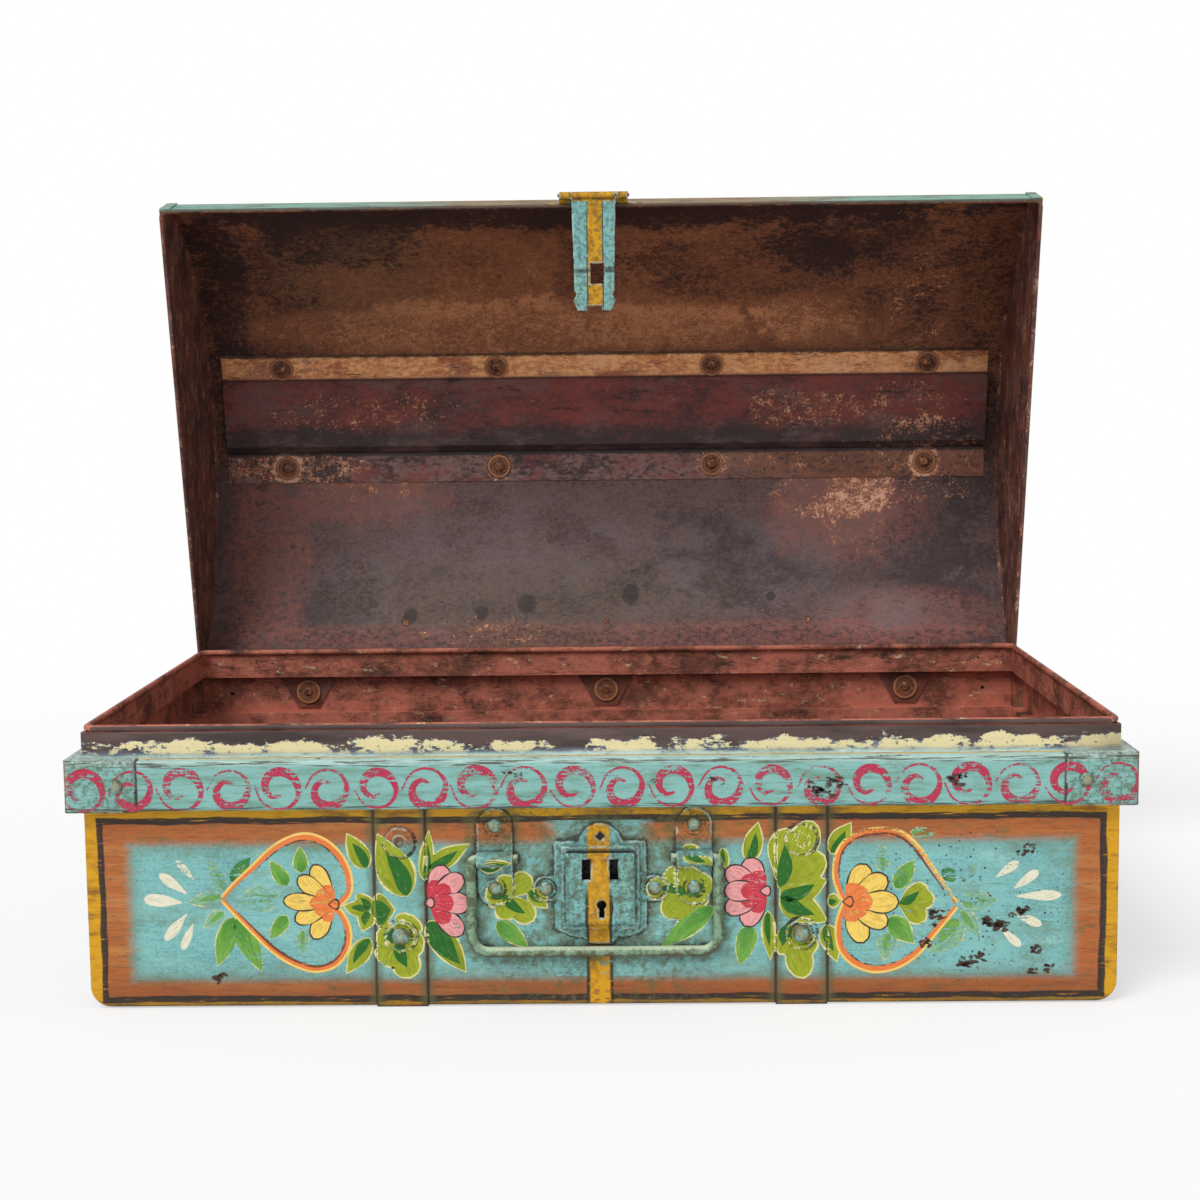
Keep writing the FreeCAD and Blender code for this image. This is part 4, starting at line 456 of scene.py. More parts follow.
def lidRust(f, v, warp):
    x = f.x
    grain = f.noise(3.6, 61, 6, 0.8, (1.3, 1, 1))
    cloth = f.noise(1.3, 62, 3, 0.7, (1.6, 1, 1))
    loose = (warp - 0.5) * 3.4 + f.waver(2.0, 14, 64, 5, 0.75) + (grain - 0.5) * 1.8

    def gather(name, start=0.0):
        total = start
        for place, size, strength in lidStains[name]:
            total = f.spot(x, v, place, size, loose) * strength + total
        return total
    heat = gather("heat", warp * 0.30 + grain * 0.42 + cloth * 0.30 - 0.01)
    low = f.step(v + loose * 20, 40, 66)
    upper = f.blend("rustDark", "rustBrown", f.step(heat, 0.41, 0.57))
    upper = upper.over("rustTan", f.step(heat, 0.56, 0.70) * 0.8)
    lower = f.blend("plumDark", "plum", f.step(heat, 0.36, 0.60))
    lower = lower.over("red", f.least(gather("red"), 1.0) * f.step(grain, 0.38, 0.58) * 0.7)
    # grey patina on the lower lid, partly a painted sheen
    lower = lower.over("steelGrey", f.least(gather("greyPatinaAndSheen"), 1.0) * f.step(warp, 0.38, 0.62) * 0.32)
    colour = upper.over(lower, low)
    colour = colour.over("oliveRust", f.least(gather("olive"), 1.0) * f.step(grain, 0.40, 0.62) * 0.6)
    flake = f.noise(9, 67, 6, 0.8, (1.2, 1, 1)) * 0.5 + f.noise(1.9, 68, 4, 0.8) * 0.5
    colour = colour.over("rustTan", f.step(flake + gather("chips") * 1.15, 0.60, 0.66) * 0.75)
    colour = colour.over("pink", f.step(flake + gather("chips"), 0.64, 0.68) * 0.9)
    colour = colour.stain("speck", 0.6, (0.60, 0.68), 4, 69, 6, 0.8, (3, 1, 1))
    for place, size in lidStains["ovals"]:
        colour = colour.over("speck", f.spot(x, v, place, size, (grain - 0.5) * 1.4) * 0.7)
    return colour


def lidPaint(name):
    f = Finish(name)
    x, ax = f.x, abs(f.x)
    v, w = lidFrame(f)
    colour, drag = teal(f)
    fine = f.noise(1.3, 0, 4, 0.6)
    pits = f.patch((0.60, 0.70), 2.6, 31, 4, 0.7)
    wobble = f.waver(3.0, 30, 1, 2)
    # top: a frame along the arch; ends: a frame inside their curved edge
    top = f.least(294 - ax, 152 - abs(v))
    rise = w - lidSet["archZ"]
    square = v * v + rise * rise
    reach = square.maths("SQRT", square)
    end = f.least(lidSet["radius"] - 12 - reach, w - 8)
    onEnd = (ax > 304.2)
    side = top * (1 - onEnd) + end * onEnd
    colour = framePaint(f, colour, side, 60.0, 200.0, -200.0, wobble)  # no mustard foot: its low edge is far away
    skirt = (w < lidSet["spring"] - 1.0) * (1 - onEnd)
    skirtColour = f.blend("bandGreen", "mustardDark", f.step(abs(x - 10) + f.waver(200, 30, 0, 4, 0.7), 190, 90) * (v < 0)
                          * 0.8)
    skirtColour = skirtColour.stain("worn", 0.7, (0.50, 0.62), 9, 22, 6, 0.76, (4, 1, 1))
    colour = colour.over(skirtColour, skirt)
    scratch = f.patch((0.62, 0.70), 5, 23, 5, 0.7, (6, 1, 1))
    colour = colour.over("worn", f.most(scratch * 0.4, pits * 0.3))
    rimRub = f.step(w + f.waver(5, 7, 19, 4), 3.2, 0.8)
    arcRub = f.step(reach + f.waver(3, 7, 20, 4), lidSet["radius"] - 1.0, lidSet["radius"] + 0.6) * f.step(ax, 303.5, 304.8)
    colour = colour.over("worn", f.most(rimRub, arcRub) * 0.8)
    rust, warp = rustPaint(f, 5.0)
    within = (ax < 304.5) * (abs(v) < 168.5) * (reach < lidSet["radius"] - 1.5)
    inside = lidRust(f, v, warp)
    endRust = rust.stain("plum", 0.5, (0.46, 0.60), 14, 71, 6, 0.78, (1, 1, 1.3))
    endRust = endRust.over("pink",
                           f.step(f.noise(9, 72, 6, 0.82, (1, 1, 2.0)) * 0.6 + f.noise(1.9, 73, 4, 0.8) * 0.4, 0.53, 0.60)
                           * 0.6)
    endRust = endRust.stain("rustDark", 0.75, (0.46, 0.60), 24, 74, 6, 0.76, (1, 1, 1.5))
    inside = inside.over(endRust, ax > 302.0)
    colour = colour.over(inside, within)
    height = drag * 0.4 + fine * 0.25 - pits * 0.5 - scratch * 0.3 + warp * within * 2.5
    rough = 0.42 + f.noise(8, 50) * 0.24 + within * 0.06
    return f.close(colour, rough, height, depth=0.3)


def stiffenerPaint(name):
    f = Finish(name)
    v, w = lidFrame(f)
    warp = f.noise(34, 9, 8, 0.72, (1.8, 1, 1))
    grain = f.noise(3.2, 61, 6, 0.8, (1.6, 1, 1))
    loose = (grain - 0.5) * 9
    onUpper, onLower = f.step(v + loose * 0.4, -21, -23.5), f.step(v + loose * 0.4, 38, 40.5)
    # painted shade: the hat darker down its lower side, as if rounded
    colour = f.blend("plumDark", "maroon", f.step(warp * 0.55 + grain * 0.45 - f.step(v + loose, 8, 34) * 0.14, 0.40, 0.58))
    colour = colour.stain("plum", 0.6, (0.48, 0.62), 26, 65, 6, 0.76, (2.2, 1, 1))
    upper = f.blend("tan", "tanLight", f.step(warp * 0.4 + grain * 0.6, 0.44, 0.56))
    upper = upper.over("maroon",
                       f.step(f.noise(20, 64, 6, 0.82, (2.0, 1, 1)) + f.step(abs(f.x), 210, 270) * 0.05, 0.51, 0.60) * 0.65)
    upper = upper.over("pink", f.step(warp * 0.5 + f.noise(2, 63, 4, 0.8) * 0.5, 0.50, 0.60) * 0.45)
    # painted shadow: darker towards the upper flange's top edge
    upper = upper.over("rustDark", f.step(v + loose, -37, -41) * 0.75)
    lower = f.blend("plumDark", "plumPale", f.step(warp * 0.6 + grain * 0.6, 0.54, 0.66))
    lower = lower.stain("maroon", 0.7, (0.48, 0.60), 22, 66, 5, 0.76, (2, 1, 1))
    lower = lower.over("rustBrown", f.step(f.x + loose * 8, 60, 130) * f.step(grain, 0.38, 0.56) * 0.8)
    colour = f.blend(f.blend(colour, upper, onUpper), lower, onLower)
    chips = 0.0
    for place, size, strength in (((-245, 48), (70, 12), 0.10), ((-190, 4), (80, 18), 0.06), ((152, 4), (50, 18), 0.08),
                                  ((-262, -30), (30, 10), 0.10),
                                  ((120, 46), (60, 8), 0.06), ((250, 40), (50, 30), 0.07), ((60, -30), (200, 10), 0.04),
                                  ((230, 0), (50, 20), 0.06)):
        chips = f.spot(f.x, v, place, size, (warp - 0.5) * 2.6 + loose * 0.12) * strength + chips
    for across in (-247, -82.3, 82.3, 247):  # tan rings round the rivets
        chips = f.spot(f.x, v, (across, 47.7), (13, 13), loose * 0.1) * 0.09 + chips
    flake = f.noise(8, 75, 6, 0.8, (1.3, 1, 1)) * 0.5 + f.noise(1.9, 76, 4, 0.8) * 0.5 + chips
    colour = colour.over("rustTan", f.step(flake, 0.59, 0.65) * 0.75)
    colour = colour.over("pink", f.step(flake, 0.63, 0.68) * 0.9)
    colour = colour.stain("speck", 0.8, (0.59, 0.67), 7, 79, 6, 0.76, (6, 1, 1))
    # painted shadow lines: under the hat's overhang above the lower flange, and along both edges of the upper flange
    colour = colour.over("speck",
                         f.most(f.step(abs(v - 37.0), 2.6, 0.6) * 0.8, f.step(abs(v + 20.8), 1.4, 0.3) * 0.6,
                                f.step(abs(v + 40.2) + loose * 0.1, 1.5, 0.5) * 0.7))
    return f.close(colour, 0.46 + f.noise(9) * 0.25, warp * 2.0 + grain + f.step(flake, 0.62, 0.68) * 0.5, depth=0.3)


def rustySheet(name, drift=0.0):
    f = Finish(name)
    rust, warp = rustPaint(f, drift)
    rust = rust.stain("steelGrey", 0.3, (0.55, 0.75), 40, drift + 3, 3, 0.6)
    return f.close(rust, 0.5 + f.noise(9, 4) * 0.25, warp + f.noise(1.6, 0, 4) * 0.5, depth=0.25)


def wornSteel(name):
    f = Finish(name)
    grime = f.noise(2.4, 0, 5, 0.7)
    colour = f.blend("steel", "steelDark", f.step(grime, 0.42, 0.62))
    colour = colour.stain("olive", 0.6, (0.52, 0.7), 5, 3, 4, 0.65)
    return f.close(colour, 0.36 + grime * 0.3, grime, metal=0.35, depth=0.3)


def brushPaint(name):  # one coat for every painted leaf and stroke; each mesh carries its own tint
    f = Finish(name)
    along, across, seed = f.split(f.read("brush", "Vector"))
    lane = f.node("ShaderNodeCombineXYZ", {}, [along * 1.4, across * 5.0, seed])
    hair = f.node("ShaderNodeTexNoise", {"noise_dimensions": "3D"},
                  {"Vector": lane, "Scale": 1.0, "Detail": 4.0, "Roughness": 0.6})
    tint = f.read("tint", "Color")
    colour = tint.over(f.node("ShaderNodeMix", {"data_type": "RGBA", "blend_type": "MULTIPLY"},
                              {0: 1.0, 6: tint, 7: (0.62, 0.62, 0.55, 1)}, 2), f.step(hair, 0.46, 0.62) * 0.6)
    colour = colour.over(f.node("ShaderNodeMix", {"data_type": "RGBA", "blend_type": "SCREEN"},
                                {0: 0.35, 6: tint, 7: (0.8, 0.8, 0.7, 1)}, 2), f.step(hair, 0.40, 0.30) * 0.6)
    hold = f.read("hold")
    rub = f.noise(3.4, 81, 5, 0.7, (3.0, 3.0, 0.45)) * 0.55 + f.noise(1.4, 83, 4, 0.7) * 0.35 + f.noise(26, 84, 2) * 0.25
    alpha = f.step(rub, hold * 0.25 + 0.495, hold * 0.25 + 0.435)
    return f.close(colour, 0.45 + hair * 0.15, hair * 0.6, depth=0.1, Alpha=alpha)


finishes = {
    "tub": tubPaint("paintedTub"), "wall": tubPaint("paintedFront", wall=True),
    "fitting": tubPaint("paintedFittings", fitting=True),
    "cap": tubPaint("paintedCaps", fitting=True, skin=0.8), "hasp": tubPaint("paintedHasp", fitting=True, onLid=True),
    "lid": lidPaint("paintedLid"), "stiffener": stiffenerPaint("stiffenerRust"), "floor": rustySheet("floorRust", 2.0),
    "backing": rustySheet("backingRust", 6.0), "steel": wornSteel("wornSteel"), "brush": brushPaint("brushedPaint"),
    "bail": bailPaint("paintedBail"), "rivet": rivetPaint("rivetHeads"), "washer": washerPaint("rustyWashers"),
}
print("finishes made:", len(finishes))

nodeFinish = {  # by the end of a node's name, or else by its start; any other node is painted as the tub is
    "ends": {"rivets": "steel", "washers": "steel"},
    "starts": {"hinge_pin": "steel", "hasp_pin": "steel", "lock_bolt": "steel", "lid_stiffener": "stiffener", "lid_": "lid",
               "hinge_lid": "lid", "tub_floor": "floor", "hinge_backing": "backing", "lock_": "fitting",
               "hasp_": "fitting", "handle_bail": "fitting"},
}


def finishFor(name):
    found = [finish for end, finish in nodeFinish["ends"].items() if name.endswith(end)]
    found += [finish for start, finish in nodeFinish["starts"].items() if name.startswith(start)]
    return (found + ["tub"])[0]


def coat(piece, finish):
    piece.data.materials.clear()
    piece.data.materials.append(finishes[finish])
    for face in piece.data.polygons:
        face.material_index = 0


for name, node in nodes.items():
    coat(node, finishFor(name))
print("nodes painted")


def marked(mesh, name, kind, values):  # a value at each point, which the materials and trees read
    field = {"FLOAT": "value", "FLOAT_VECTOR": "vector", "FLOAT_COLOR": "color"}[kind]
    mesh.attributes.new(name, kind, "POINT").data.foreach_set(field, np.asarray(values, dtype=np.float32).ravel())


def smoothed(mesh, sharp):  # smooth faces, with edges past so many degrees kept sharp
    for face in mesh.polygons:
        face.use_smooth = True
    mesh.set_sharp_from_angle(angle=math.radians(sharp))


def shown(name, mesh, finish, body, slot, *replaced):  # a finished piece on its body
    piece = added(name, mesh)
    coat(piece, finish)
    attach(piece, body)
    if replaced:
        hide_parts(*replaced)
    return piece


sides = ("left", "middle", "right")
dressed = {  # the length of an edge in mm, and the finish
    "lock_case": (1.2, "fitting"), "lock_backplate": (1.6, "fitting"), "hasp_plate": (1.4, "hasp"),
    "hasp_leaf": (1.6, "hasp"),
    "handle_bracket_left": (1.4, "fitting"), "handle_bracket_right": (1.4, "fitting"), "handle_bail": (2.0, "bail"),
    "strap_washers": (1.2, "fitting"), "strap_flat_rivets": (1.2, "fitting"),
    "stiffener_washers": (1.6, "washer"), "hinge_washers": (1.6, "washer"),
    **{f"corner_cap_{end}_{side}": (3.0, "cap") for end in ("front", "back") for side in ("left", "right")},
    **{f"hinge_tub_leaf_{side}": (2.4, "fitting") for side in sides},
}
dressing = {"merge": 0.000002, "flat": 0.5, "crease": 34, "sharp": 38, "rounds": 8, "mostFaces": 60000, "farthest": 50.0,
            "frontCell": 2.2, "frontWide": 14.0,
            "fitted": ["lock_case", "lock_backplate", "handle_bracket_left", "handle_bracket_right", "handle_bail"]}


def refined(name, cell, finish, wide=None, beside=()):
    # a copy of a node on an even mesh, whose points know how far the nearest edge, crease and fitting are
    work = bmesh.new()
    work.from_mesh(nodes[name].data)
    bmesh.ops.remove_doubles(work, verts=work.verts, dist=dressing["merge"])
    bmesh.ops.dissolve_limit(work, angle_limit=math.radians(dressing["flat"]), verts=work.verts, edges=work.edges)
    bmesh.ops.triangulate(work, faces=work.faces)

    def limit(edge):  # away from the fittings the edges may be wide
        middle = (edge.verts[0].co + edge.verts[1].co) / 2
        near = abs(middle.x) < 0.14 and middle.y < -0.16 and 0.015 < middle.z < 0.125
        return (cell if wide is None or near else wide) / 1000
    for _ in range(dressing["rounds"]):
        long = [edge for edge in work.edges if edge.calc_length() > limit(edge)]
        if not long or len(work.faces) > dressing["mostFaces"]:
            break
        bmesh.ops.subdivide_edges(work, edges=long, cuts=1, use_grid_fill=False)
        bmesh.ops.triangulate(work, faces=[face for face in work.faces if len(face.verts) > 3])
    outer, inner = [], []
    for edge in work.edges:
        if len(edge.link_faces) == 2 and edge.calc_face_angle(0) > math.radians(dressing["crease"]):
            first, second = (vertex.co.copy() for vertex in edge.verts)
            (outer if edge.calc_face_angle_signed(0) > 0 else inner).extend([first, (first + second) / 2])
    mesh = bpy.data.meshes.new(name + "_dressed")
    work.to_mesh(mesh)
    work.free()
    others = [vertex.co.copy() for part in beside for vertex in bpy.data.objects[part + "_dressed"].data.vertices]
    for label, points in (("edgeGap", outer), ("creaseGap", inner), ("fitGap", others)):
        tree = KDTree(max(len(points), 1))
        for i, point in enumerate(points or [Vector((9, 9, 9))]):  # one far point where there is none
            tree.insert(point, i)
        tree.balance()
        marked(mesh, label, "FLOAT",
               [min(tree.find(vertex.co)[2] * 1000, dressing["farthest"]) for vertex in mesh.vertices])
    # which way each point faces up, read for the bail's painted highlight and painted underside shade
    marked(mesh, "lift", "FLOAT", [vertex.normal.z for vertex in mesh.vertices])
    smoothed(mesh, dressing["sharp"])
    return shown(name + "_dressed", mesh, finish, bodyOf[name], slotOf[name], name)


for name, (cell, finish) in dressed.items():
    piece = refined(name, cell, finish)
    print("dressed", name, len(piece.data.polygons))
piece = refined("tub_front_panel", dressing["frontCell"], "wall", dressing["frontWide"], dressing["fitted"])
print("dressed the front", len(piece.data.polygons))


def newTree(name, inputs):  # a geometry node tree with named inputs
    tree = bpy.data.node_groups.new(name, "GeometryNodeTree")
    for label, kind in {"Geometry": "Geometry", **inputs}.items():
        tree.interface.new_socket(label, in_out="INPUT", socket_type="NodeSocket" + kind)
    tree.interface.new_socket("Geometry", in_out="OUTPUT", socket_type="NodeSocketGeometry")
    return tree, tree.nodes.new("NodeGroupInput").outputs


def handOut(tree, shape, finish):  # the tree's last nodes
    coated = addNode(tree, "GeometryNodeSetMaterial", {}, {"Geometry": shape, "Material": finishes[finish]})
    tree.links.new(coated, tree.nodes.new("NodeGroupOutput").inputs[0])
    return tree


def grown(tree, inputs, name, mesh=None):  # the plain mesh that a node tree makes
    carrier = added(name + "Seed", mesh or bpy.data.meshes.new(name + "Seed"))
    modifier = carrier.modifiers.new("nodes", "NODES")
    modifier.node_group = tree
    for item in tree.interface.items_tree:
        if item.item_type == "SOCKET" and item.in_out == "INPUT" and item.name in inputs:
            modifier[item.identifier] = inputs[item.name]
    seen = carrier.evaluated_get(bpy.context.evaluated_depsgraph_get())
    result = bpy.data.meshes.new_from_object(seen)
    carrier.modifiers.remove(modifier)
    bpy.data.objects.remove(carrier)
    return result


rivets = {"tub": ["strap_dome_rivets", "handle_bracket_rivets", "lock_rivets", "corner_cap_rivets", "hinge_tub_rivets"],
          "lid": ["lid_back_rivets", "stiffener_rivets", "hinge_lid_rivets", "hasp_leaf_rivets"],
          "around": 16, "rings": 6, "roundness": 2.2, "sharp": 50, "leastTail": 0.0008, "leastRise": 0.0002,
          "inputs": {"Uneven size": 0.03, "Dents": 0.00022, "Dent scale": 420.0, "Seed": 7}}


def domeUnit():  # radius 1, height 1, foot closed
    work = bmesh.new()
    share = work.verts.layers.float.new("rise")
    around, rows = rivets["around"], []
    for ring in range(rivets["rings"]):
        up = ring / rivets["rings"]
        wide = math.sqrt(1 - up ** rivets["roundness"])
        turns = [i / around * math.tau for i in range(around)]
        rows.append([work.verts.new((wide * math.cos(turn), wide * math.sin(turn), up)) for turn in turns])
    top = work.verts.new((0, 0, 1))
    for low, high in zip(rows, rows[1:]):
        for i in range(around):
            j = (i + 1) % around
            work.faces.new((low[i], low[j], high[j], high[i]))
    for i in range(around):
        work.faces.new((rows[-1][i], rows[-1][(i + 1) % around], top))
    work.faces.new(rows[0][::-1])
    # the rise on the dome, read for the rivets' painted highlight and painted shade at the foot
    for vertex in work.verts:
        vertex[share] = vertex.co.z
    mesh = bpy.data.meshes.new("rivetDome")
    work.to_mesh(mesh)
    work.free()
    unit = added("rivetDome", mesh)
    return unit


def rivetEnds(name):  # both ends of each rivet: middle of the foot, way it points, radius, rise
    work = bmesh.new()
    work.from_mesh(nodes[name].data)
    bmesh.ops.remove_doubles(work, verts=work.verts, dist=dressing["merge"])
    left, ends = set(work.verts), []
    for start in list(work.verts):
        if start not in left:
            continue
        left.remove(start)
        island, near = [], [start]
        while near:  # every point that hangs together with the first
            vertex = near.pop()
            island.append(tuple(vertex.co))
            for other in (link.other_vert(vertex) for link in vertex.link_edges):
                if other in left:
                    left.remove(other)
                    near.append(other)
        cloud = np.array(island)
        middle = (cloud.min(0) + cloud.max(0)) / 2
        for _ in range(2):
            values, ways = np.linalg.eigh((cloud - middle).T @ (cloud - middle))
            axis = ways[:, 2] if values[2] - values[1] > values[1] - values[0] else ways[:, 0]
            high = (cloud - middle) @ axis
            flat = cloud - np.outer(high, axis)
            middle = middle + (flat - middle).mean(0) * 0.5
        wide = np.linalg.norm(flat - middle, axis=1)
        rim = high[wide.argmax()]
        if high.max() - rim > rim - high.min():
            axis, high, rim = -axis, -high, -rim
        ends.append((middle + axis * rim, axis, wide.max(), high.max() - rim))
        tail = high < rim - rivets["leastTail"]
        if tail.any():
            foot = high[tail][wide[tail].argmax()]
            ends.append((middle + axis * foot, -axis, wide[tail].max(), foot - high.min()))
    work.free()
    return [end for end in ends if end[3] > rivets["leastRise"]]


def rivetTree(unit):
    tree, given = newTree("rivetHeads", {"Uneven size": "Float", "Dents": "Float", "Dent scale": "Float", "Seed": "Int"})
    grow = partial(addNode, tree)

    def maths(operation, *values):
        return grow("ShaderNodeMath", {"operation": operation}, values)

    def carried(name, kind):
        return grow("GeometryNodeInputNamedAttribute", {"data_type": kind}, {"Name": name})
    least = maths("SUBTRACT", 1.0, given["Uneven size"])
    uneven = grow("FunctionNodeRandomValue", {"data_type": "FLOAT"}, {2: least, 3: 1.0, "Seed": given["Seed"]}, 1)
    scale = grow("ShaderNodeVectorMath", {"operation": "SCALE"}, {0: carried("size", "FLOAT_VECTOR"), "Scale": uneven})
    dome = grow("GeometryNodeObjectInfo", {}, {"Object": unit}, "Geometry")
    placed = grow("GeometryNodeInstanceOnPoints", {},
                  {"Points": given["Geometry"], "Instance": dome, "Rotation": carried("turn", "FLOAT_VECTOR"),
                   "Scale": scale})
    real = grow("GeometryNodeRealizeInstances", {}, {0: placed})
    rough = grow("ShaderNodeTexNoise", {}, {"Scale": given["Dent scale"], "Detail": 1.0})
    depth = maths("MULTIPLY", maths("MULTIPLY", rough, carried("rise", "FLOAT")), given["Dents"])
    push = grow("ShaderNodeVectorMath", {"operation": "SCALE"},
                {0: grow("GeometryNodeInputNormal", {}, {}), "Scale": maths("MULTIPLY", depth, -1.0)})
    return handOut(tree, grow("GeometryNodeSetPosition", {}, {"Geometry": real, "Offset": push}), "rivet")


unit = domeUnit()
heads = rivetTree(unit)
for body in ("tub", "lid"):
    ends = [end for name in rivets[body] for end in rivetEnds(name)]
    feet = bpy.data.meshes.new("rivetFeet")
    feet.from_pydata([tuple(foot) for foot, way, wide, rise in ends], [], [])
    marked(feet, "turn", "FLOAT_VECTOR",
           [tuple(Vector(way).to_track_quat("Z", "Y").to_euler()) for foot, way, wide, rise in ends])
    marked(feet, "size", "FLOAT_VECTOR", [(wide, wide, rise) for foot, way, wide, rise in ends])
    inwards = [way[1] < 0 if body == "lid" else way[0] * foot[0] + way[1] * foot[1] < 0 for foot, way, wide, rise in ends]
    marked(feet, "rusty", "FLOAT", inwards)
    mesh = grown(heads, rivets["inputs"], "rivets", feet)
    smoothed(mesh, rivets["sharp"])
    shown("rivet_heads_" + body, mesh, "rivet", body, "worn_steel", *rivets[body])
    print("rivets on the", body + ":", len(ends), "ends,", len(mesh.polygons), "faces")
bpy.data.objects.remove(unit)


def faceTree(names):  # what the brush meets
    points, faces = [], []
    for name in names:
        mesh, start = nodes[name].data, len(points)
        points += [vertex.co.copy() for vertex in mesh.vertices]
        faces += [tuple(start + i for i in face.vertices) for face in mesh.polygons]
    return BVHTree.FromPolygons(points, faces)


paints = shades({
    "lime": (138, 150, 14), "leafDark": (26, 102, 20), "leafPlain": (112, 168, 66), "leafMid": (66, 138, 40),
    "leafFaded": (136, 184, 146), "leafDeep": (56, 130, 66), "outline": (226, 218, 156), "ray": (232, 228, 204),
    "heart": (236, 128, 60), "heartPale": (248, 206, 110), "ink": (50, 40, 40), "petal": (244, 206, 96),
    "petalHeart": (238, 126, 62), "rose": (206, 52, 72), "roseTip": (236, 160, 160), "crimson": (188, 44, 80),
    # grime is the dark of the rings round the rivets: dirt and painted shade
    "limePale": (160, 172, 28), "burnt": (124, 62, 34), "grime": (56, 54, 40), "chip": (74, 52, 40),
})
# run and lane in mm, jump in m
brush = {"run": 1.5, "leafRun": 1.3, "lane": 1.6, "hair": 0.16, "jump": 0.0012, "missed": 9.0, "seed": 11}


def strokeRows(line, widths, aside=0.0, wide=4):  # rows of points across a smooth line
    path = []
    ends = [line[0], *line, line[-1]]
    for i in range(1, len(ends) - 2):
        a, b, c, d = (Vector(ends[i + k]) for k in (-1, 0, 1, 2))
        pieces = max(3, int((c - b).length / brush["run"]))
        for k in range(pieces):
            t = k / pieces
            path.append(0.5 * (2 * b + (c - a) * t + (2 * a - 5 * b + 4 * c - d) * t * t + (3 * b - a - 3 * c + d)
                               * t ** 3))
    path.append(Vector(line[-1]))
    rows = []
    for i, point in enumerate(path):
        run = (path[min(i + 1, len(path) - 1)] - path[max(i - 1, 0)]).normalized()
        side = Vector((-run.y, run.x))
        t = i / (len(path) - 1) * (len(widths) - 1)
        k = min(int(t), len(widths) - 2)
        width = widths[k] + (widths[k + 1] - widths[k]) * (t - k)
        centre = point + side * aside
        rows.append([tuple(centre + side * width * (j / (wide - 1) - 0.5)) for j in range(wide)])
    return rows


class Painting:  # flat strips of paint laid on a wall, one after another
    def __init__(self, wall):
        self.wall = wall
        self.points, self.faces, self.tints, self.brush, self.holds = [], [], [], [], []
        self.rng = random.Random(brush["seed"])

    def lay(self, rows, tint, last, hold, proud):  # proud in mm; hold is how much of the paint is left
        seed, start, wide = self.rng.uniform(0, 90), len(self.points), len(rows[0])
        depths = []
        for i, row in enumerate(rows):
            along = i / (len(rows) - 1)
            for j, (x, z) in enumerate(row):
                hit = self.wall.ray_cast(Vector((x / 1000, -0.3, z / 1000)), Vector((0, 1, 0)))[0]
                depths.append(hit.y if hit else brush["missed"])
                self.points.append(Vector((x / 1000, depths[-1] - proud / 1000, z / 1000)))
                self.tints.append([a + (b - a) * along for a, b in zip(paints[tint], paints[last or tint])])
                self.brush.append((along * len(rows) * brush["hair"], j / (wide - 1) * 2 - 1, seed))
                self.holds.append(hold)
        for i in range(len(rows) - 1):
            for j in range(wide - 1):
                a = i * wide + j
                corners = (a, a + 1, a + wide + 1, a + wide)
                seen = [depths[c] for c in corners]
                if max(seen) < brush["missed"] and max(seen) - min(seen) < brush["jump"]:
                    self.faces.append([start + c for c in corners])

    def leaf(self, base, tip, width, tint, hold, proud, grow=0.0, blunt=False, lean=0.0, last=None):
        base, tip = Vector(base), Vector(tip)
        run = (tip - base).normalized()
        side = Vector((-run.y, run.x))
        base, tip, width = base - run * grow * 0.6, tip + run * grow * 1.3, width + 2 * grow
        count, wide = max(8, int((tip - base).length / brush["leafRun"])), max(4, int(width / brush["lane"])) + 1
        phase = self.rng.uniform(0, 9)
        rows = []
        for i in range(count + 1):
            t = i / count
            if blunt and t > 0.66:  # widest at two thirds, with a round end
                half = math.sqrt(max(0.0, 1 - ((t - 0.66) / 0.34) ** 2))
            elif blunt:
                half = 0.18 + 0.82 * math.sin(t / 0.66 * math.pi / 2) ** 1.3
            else:
                half = math.sin(math.pi * t ** 0.72) ** 0.85 if 0 < t < 1 else 0.0
            half = max(half, 0.02) * width / 2 * (1 + 0.05 * math.sin(t * 9 + phase))
            centre = base + (tip - base) * t + side * lean * width * math.sin(math.pi * t)
            rows.append([tuple(centre + side * half * (2 * j / (wide - 1) - 1)) for j in range(wide)])
        self.lay(rows, tint, last, hold, proud)

    def stroke(self, line, widths, tint, hold, proud, aside=0.0):
        self.lay(strokeRows(line, widths, aside), tint, None, hold, proud)

    def piece(self, name, slot):
        mesh = bpy.data.meshes.new(name)
        mesh.from_pydata(self.points, [], self.faces)
        marked(mesh, "tint", "FLOAT_COLOR", self.tints)
        marked(mesh, "brush", "FLOAT_VECTOR", self.brush)
        marked(mesh, "hold", "FLOAT", self.holds)
        work = bmesh.new()
        work.from_mesh(mesh)
        for face in work.faces:
            face.normal_update()
        bmesh.ops.reverse_faces(work, faces=[face for face in work.faces if face.normal.y > 0])
        bmesh.ops.delete(work, geom=[vertex for vertex in work.verts if not vertex.link_faces], context="VERTS")
        work.to_mesh(mesh)
        work.free()
        return shown(name, mesh, "brush", "tub", slot)


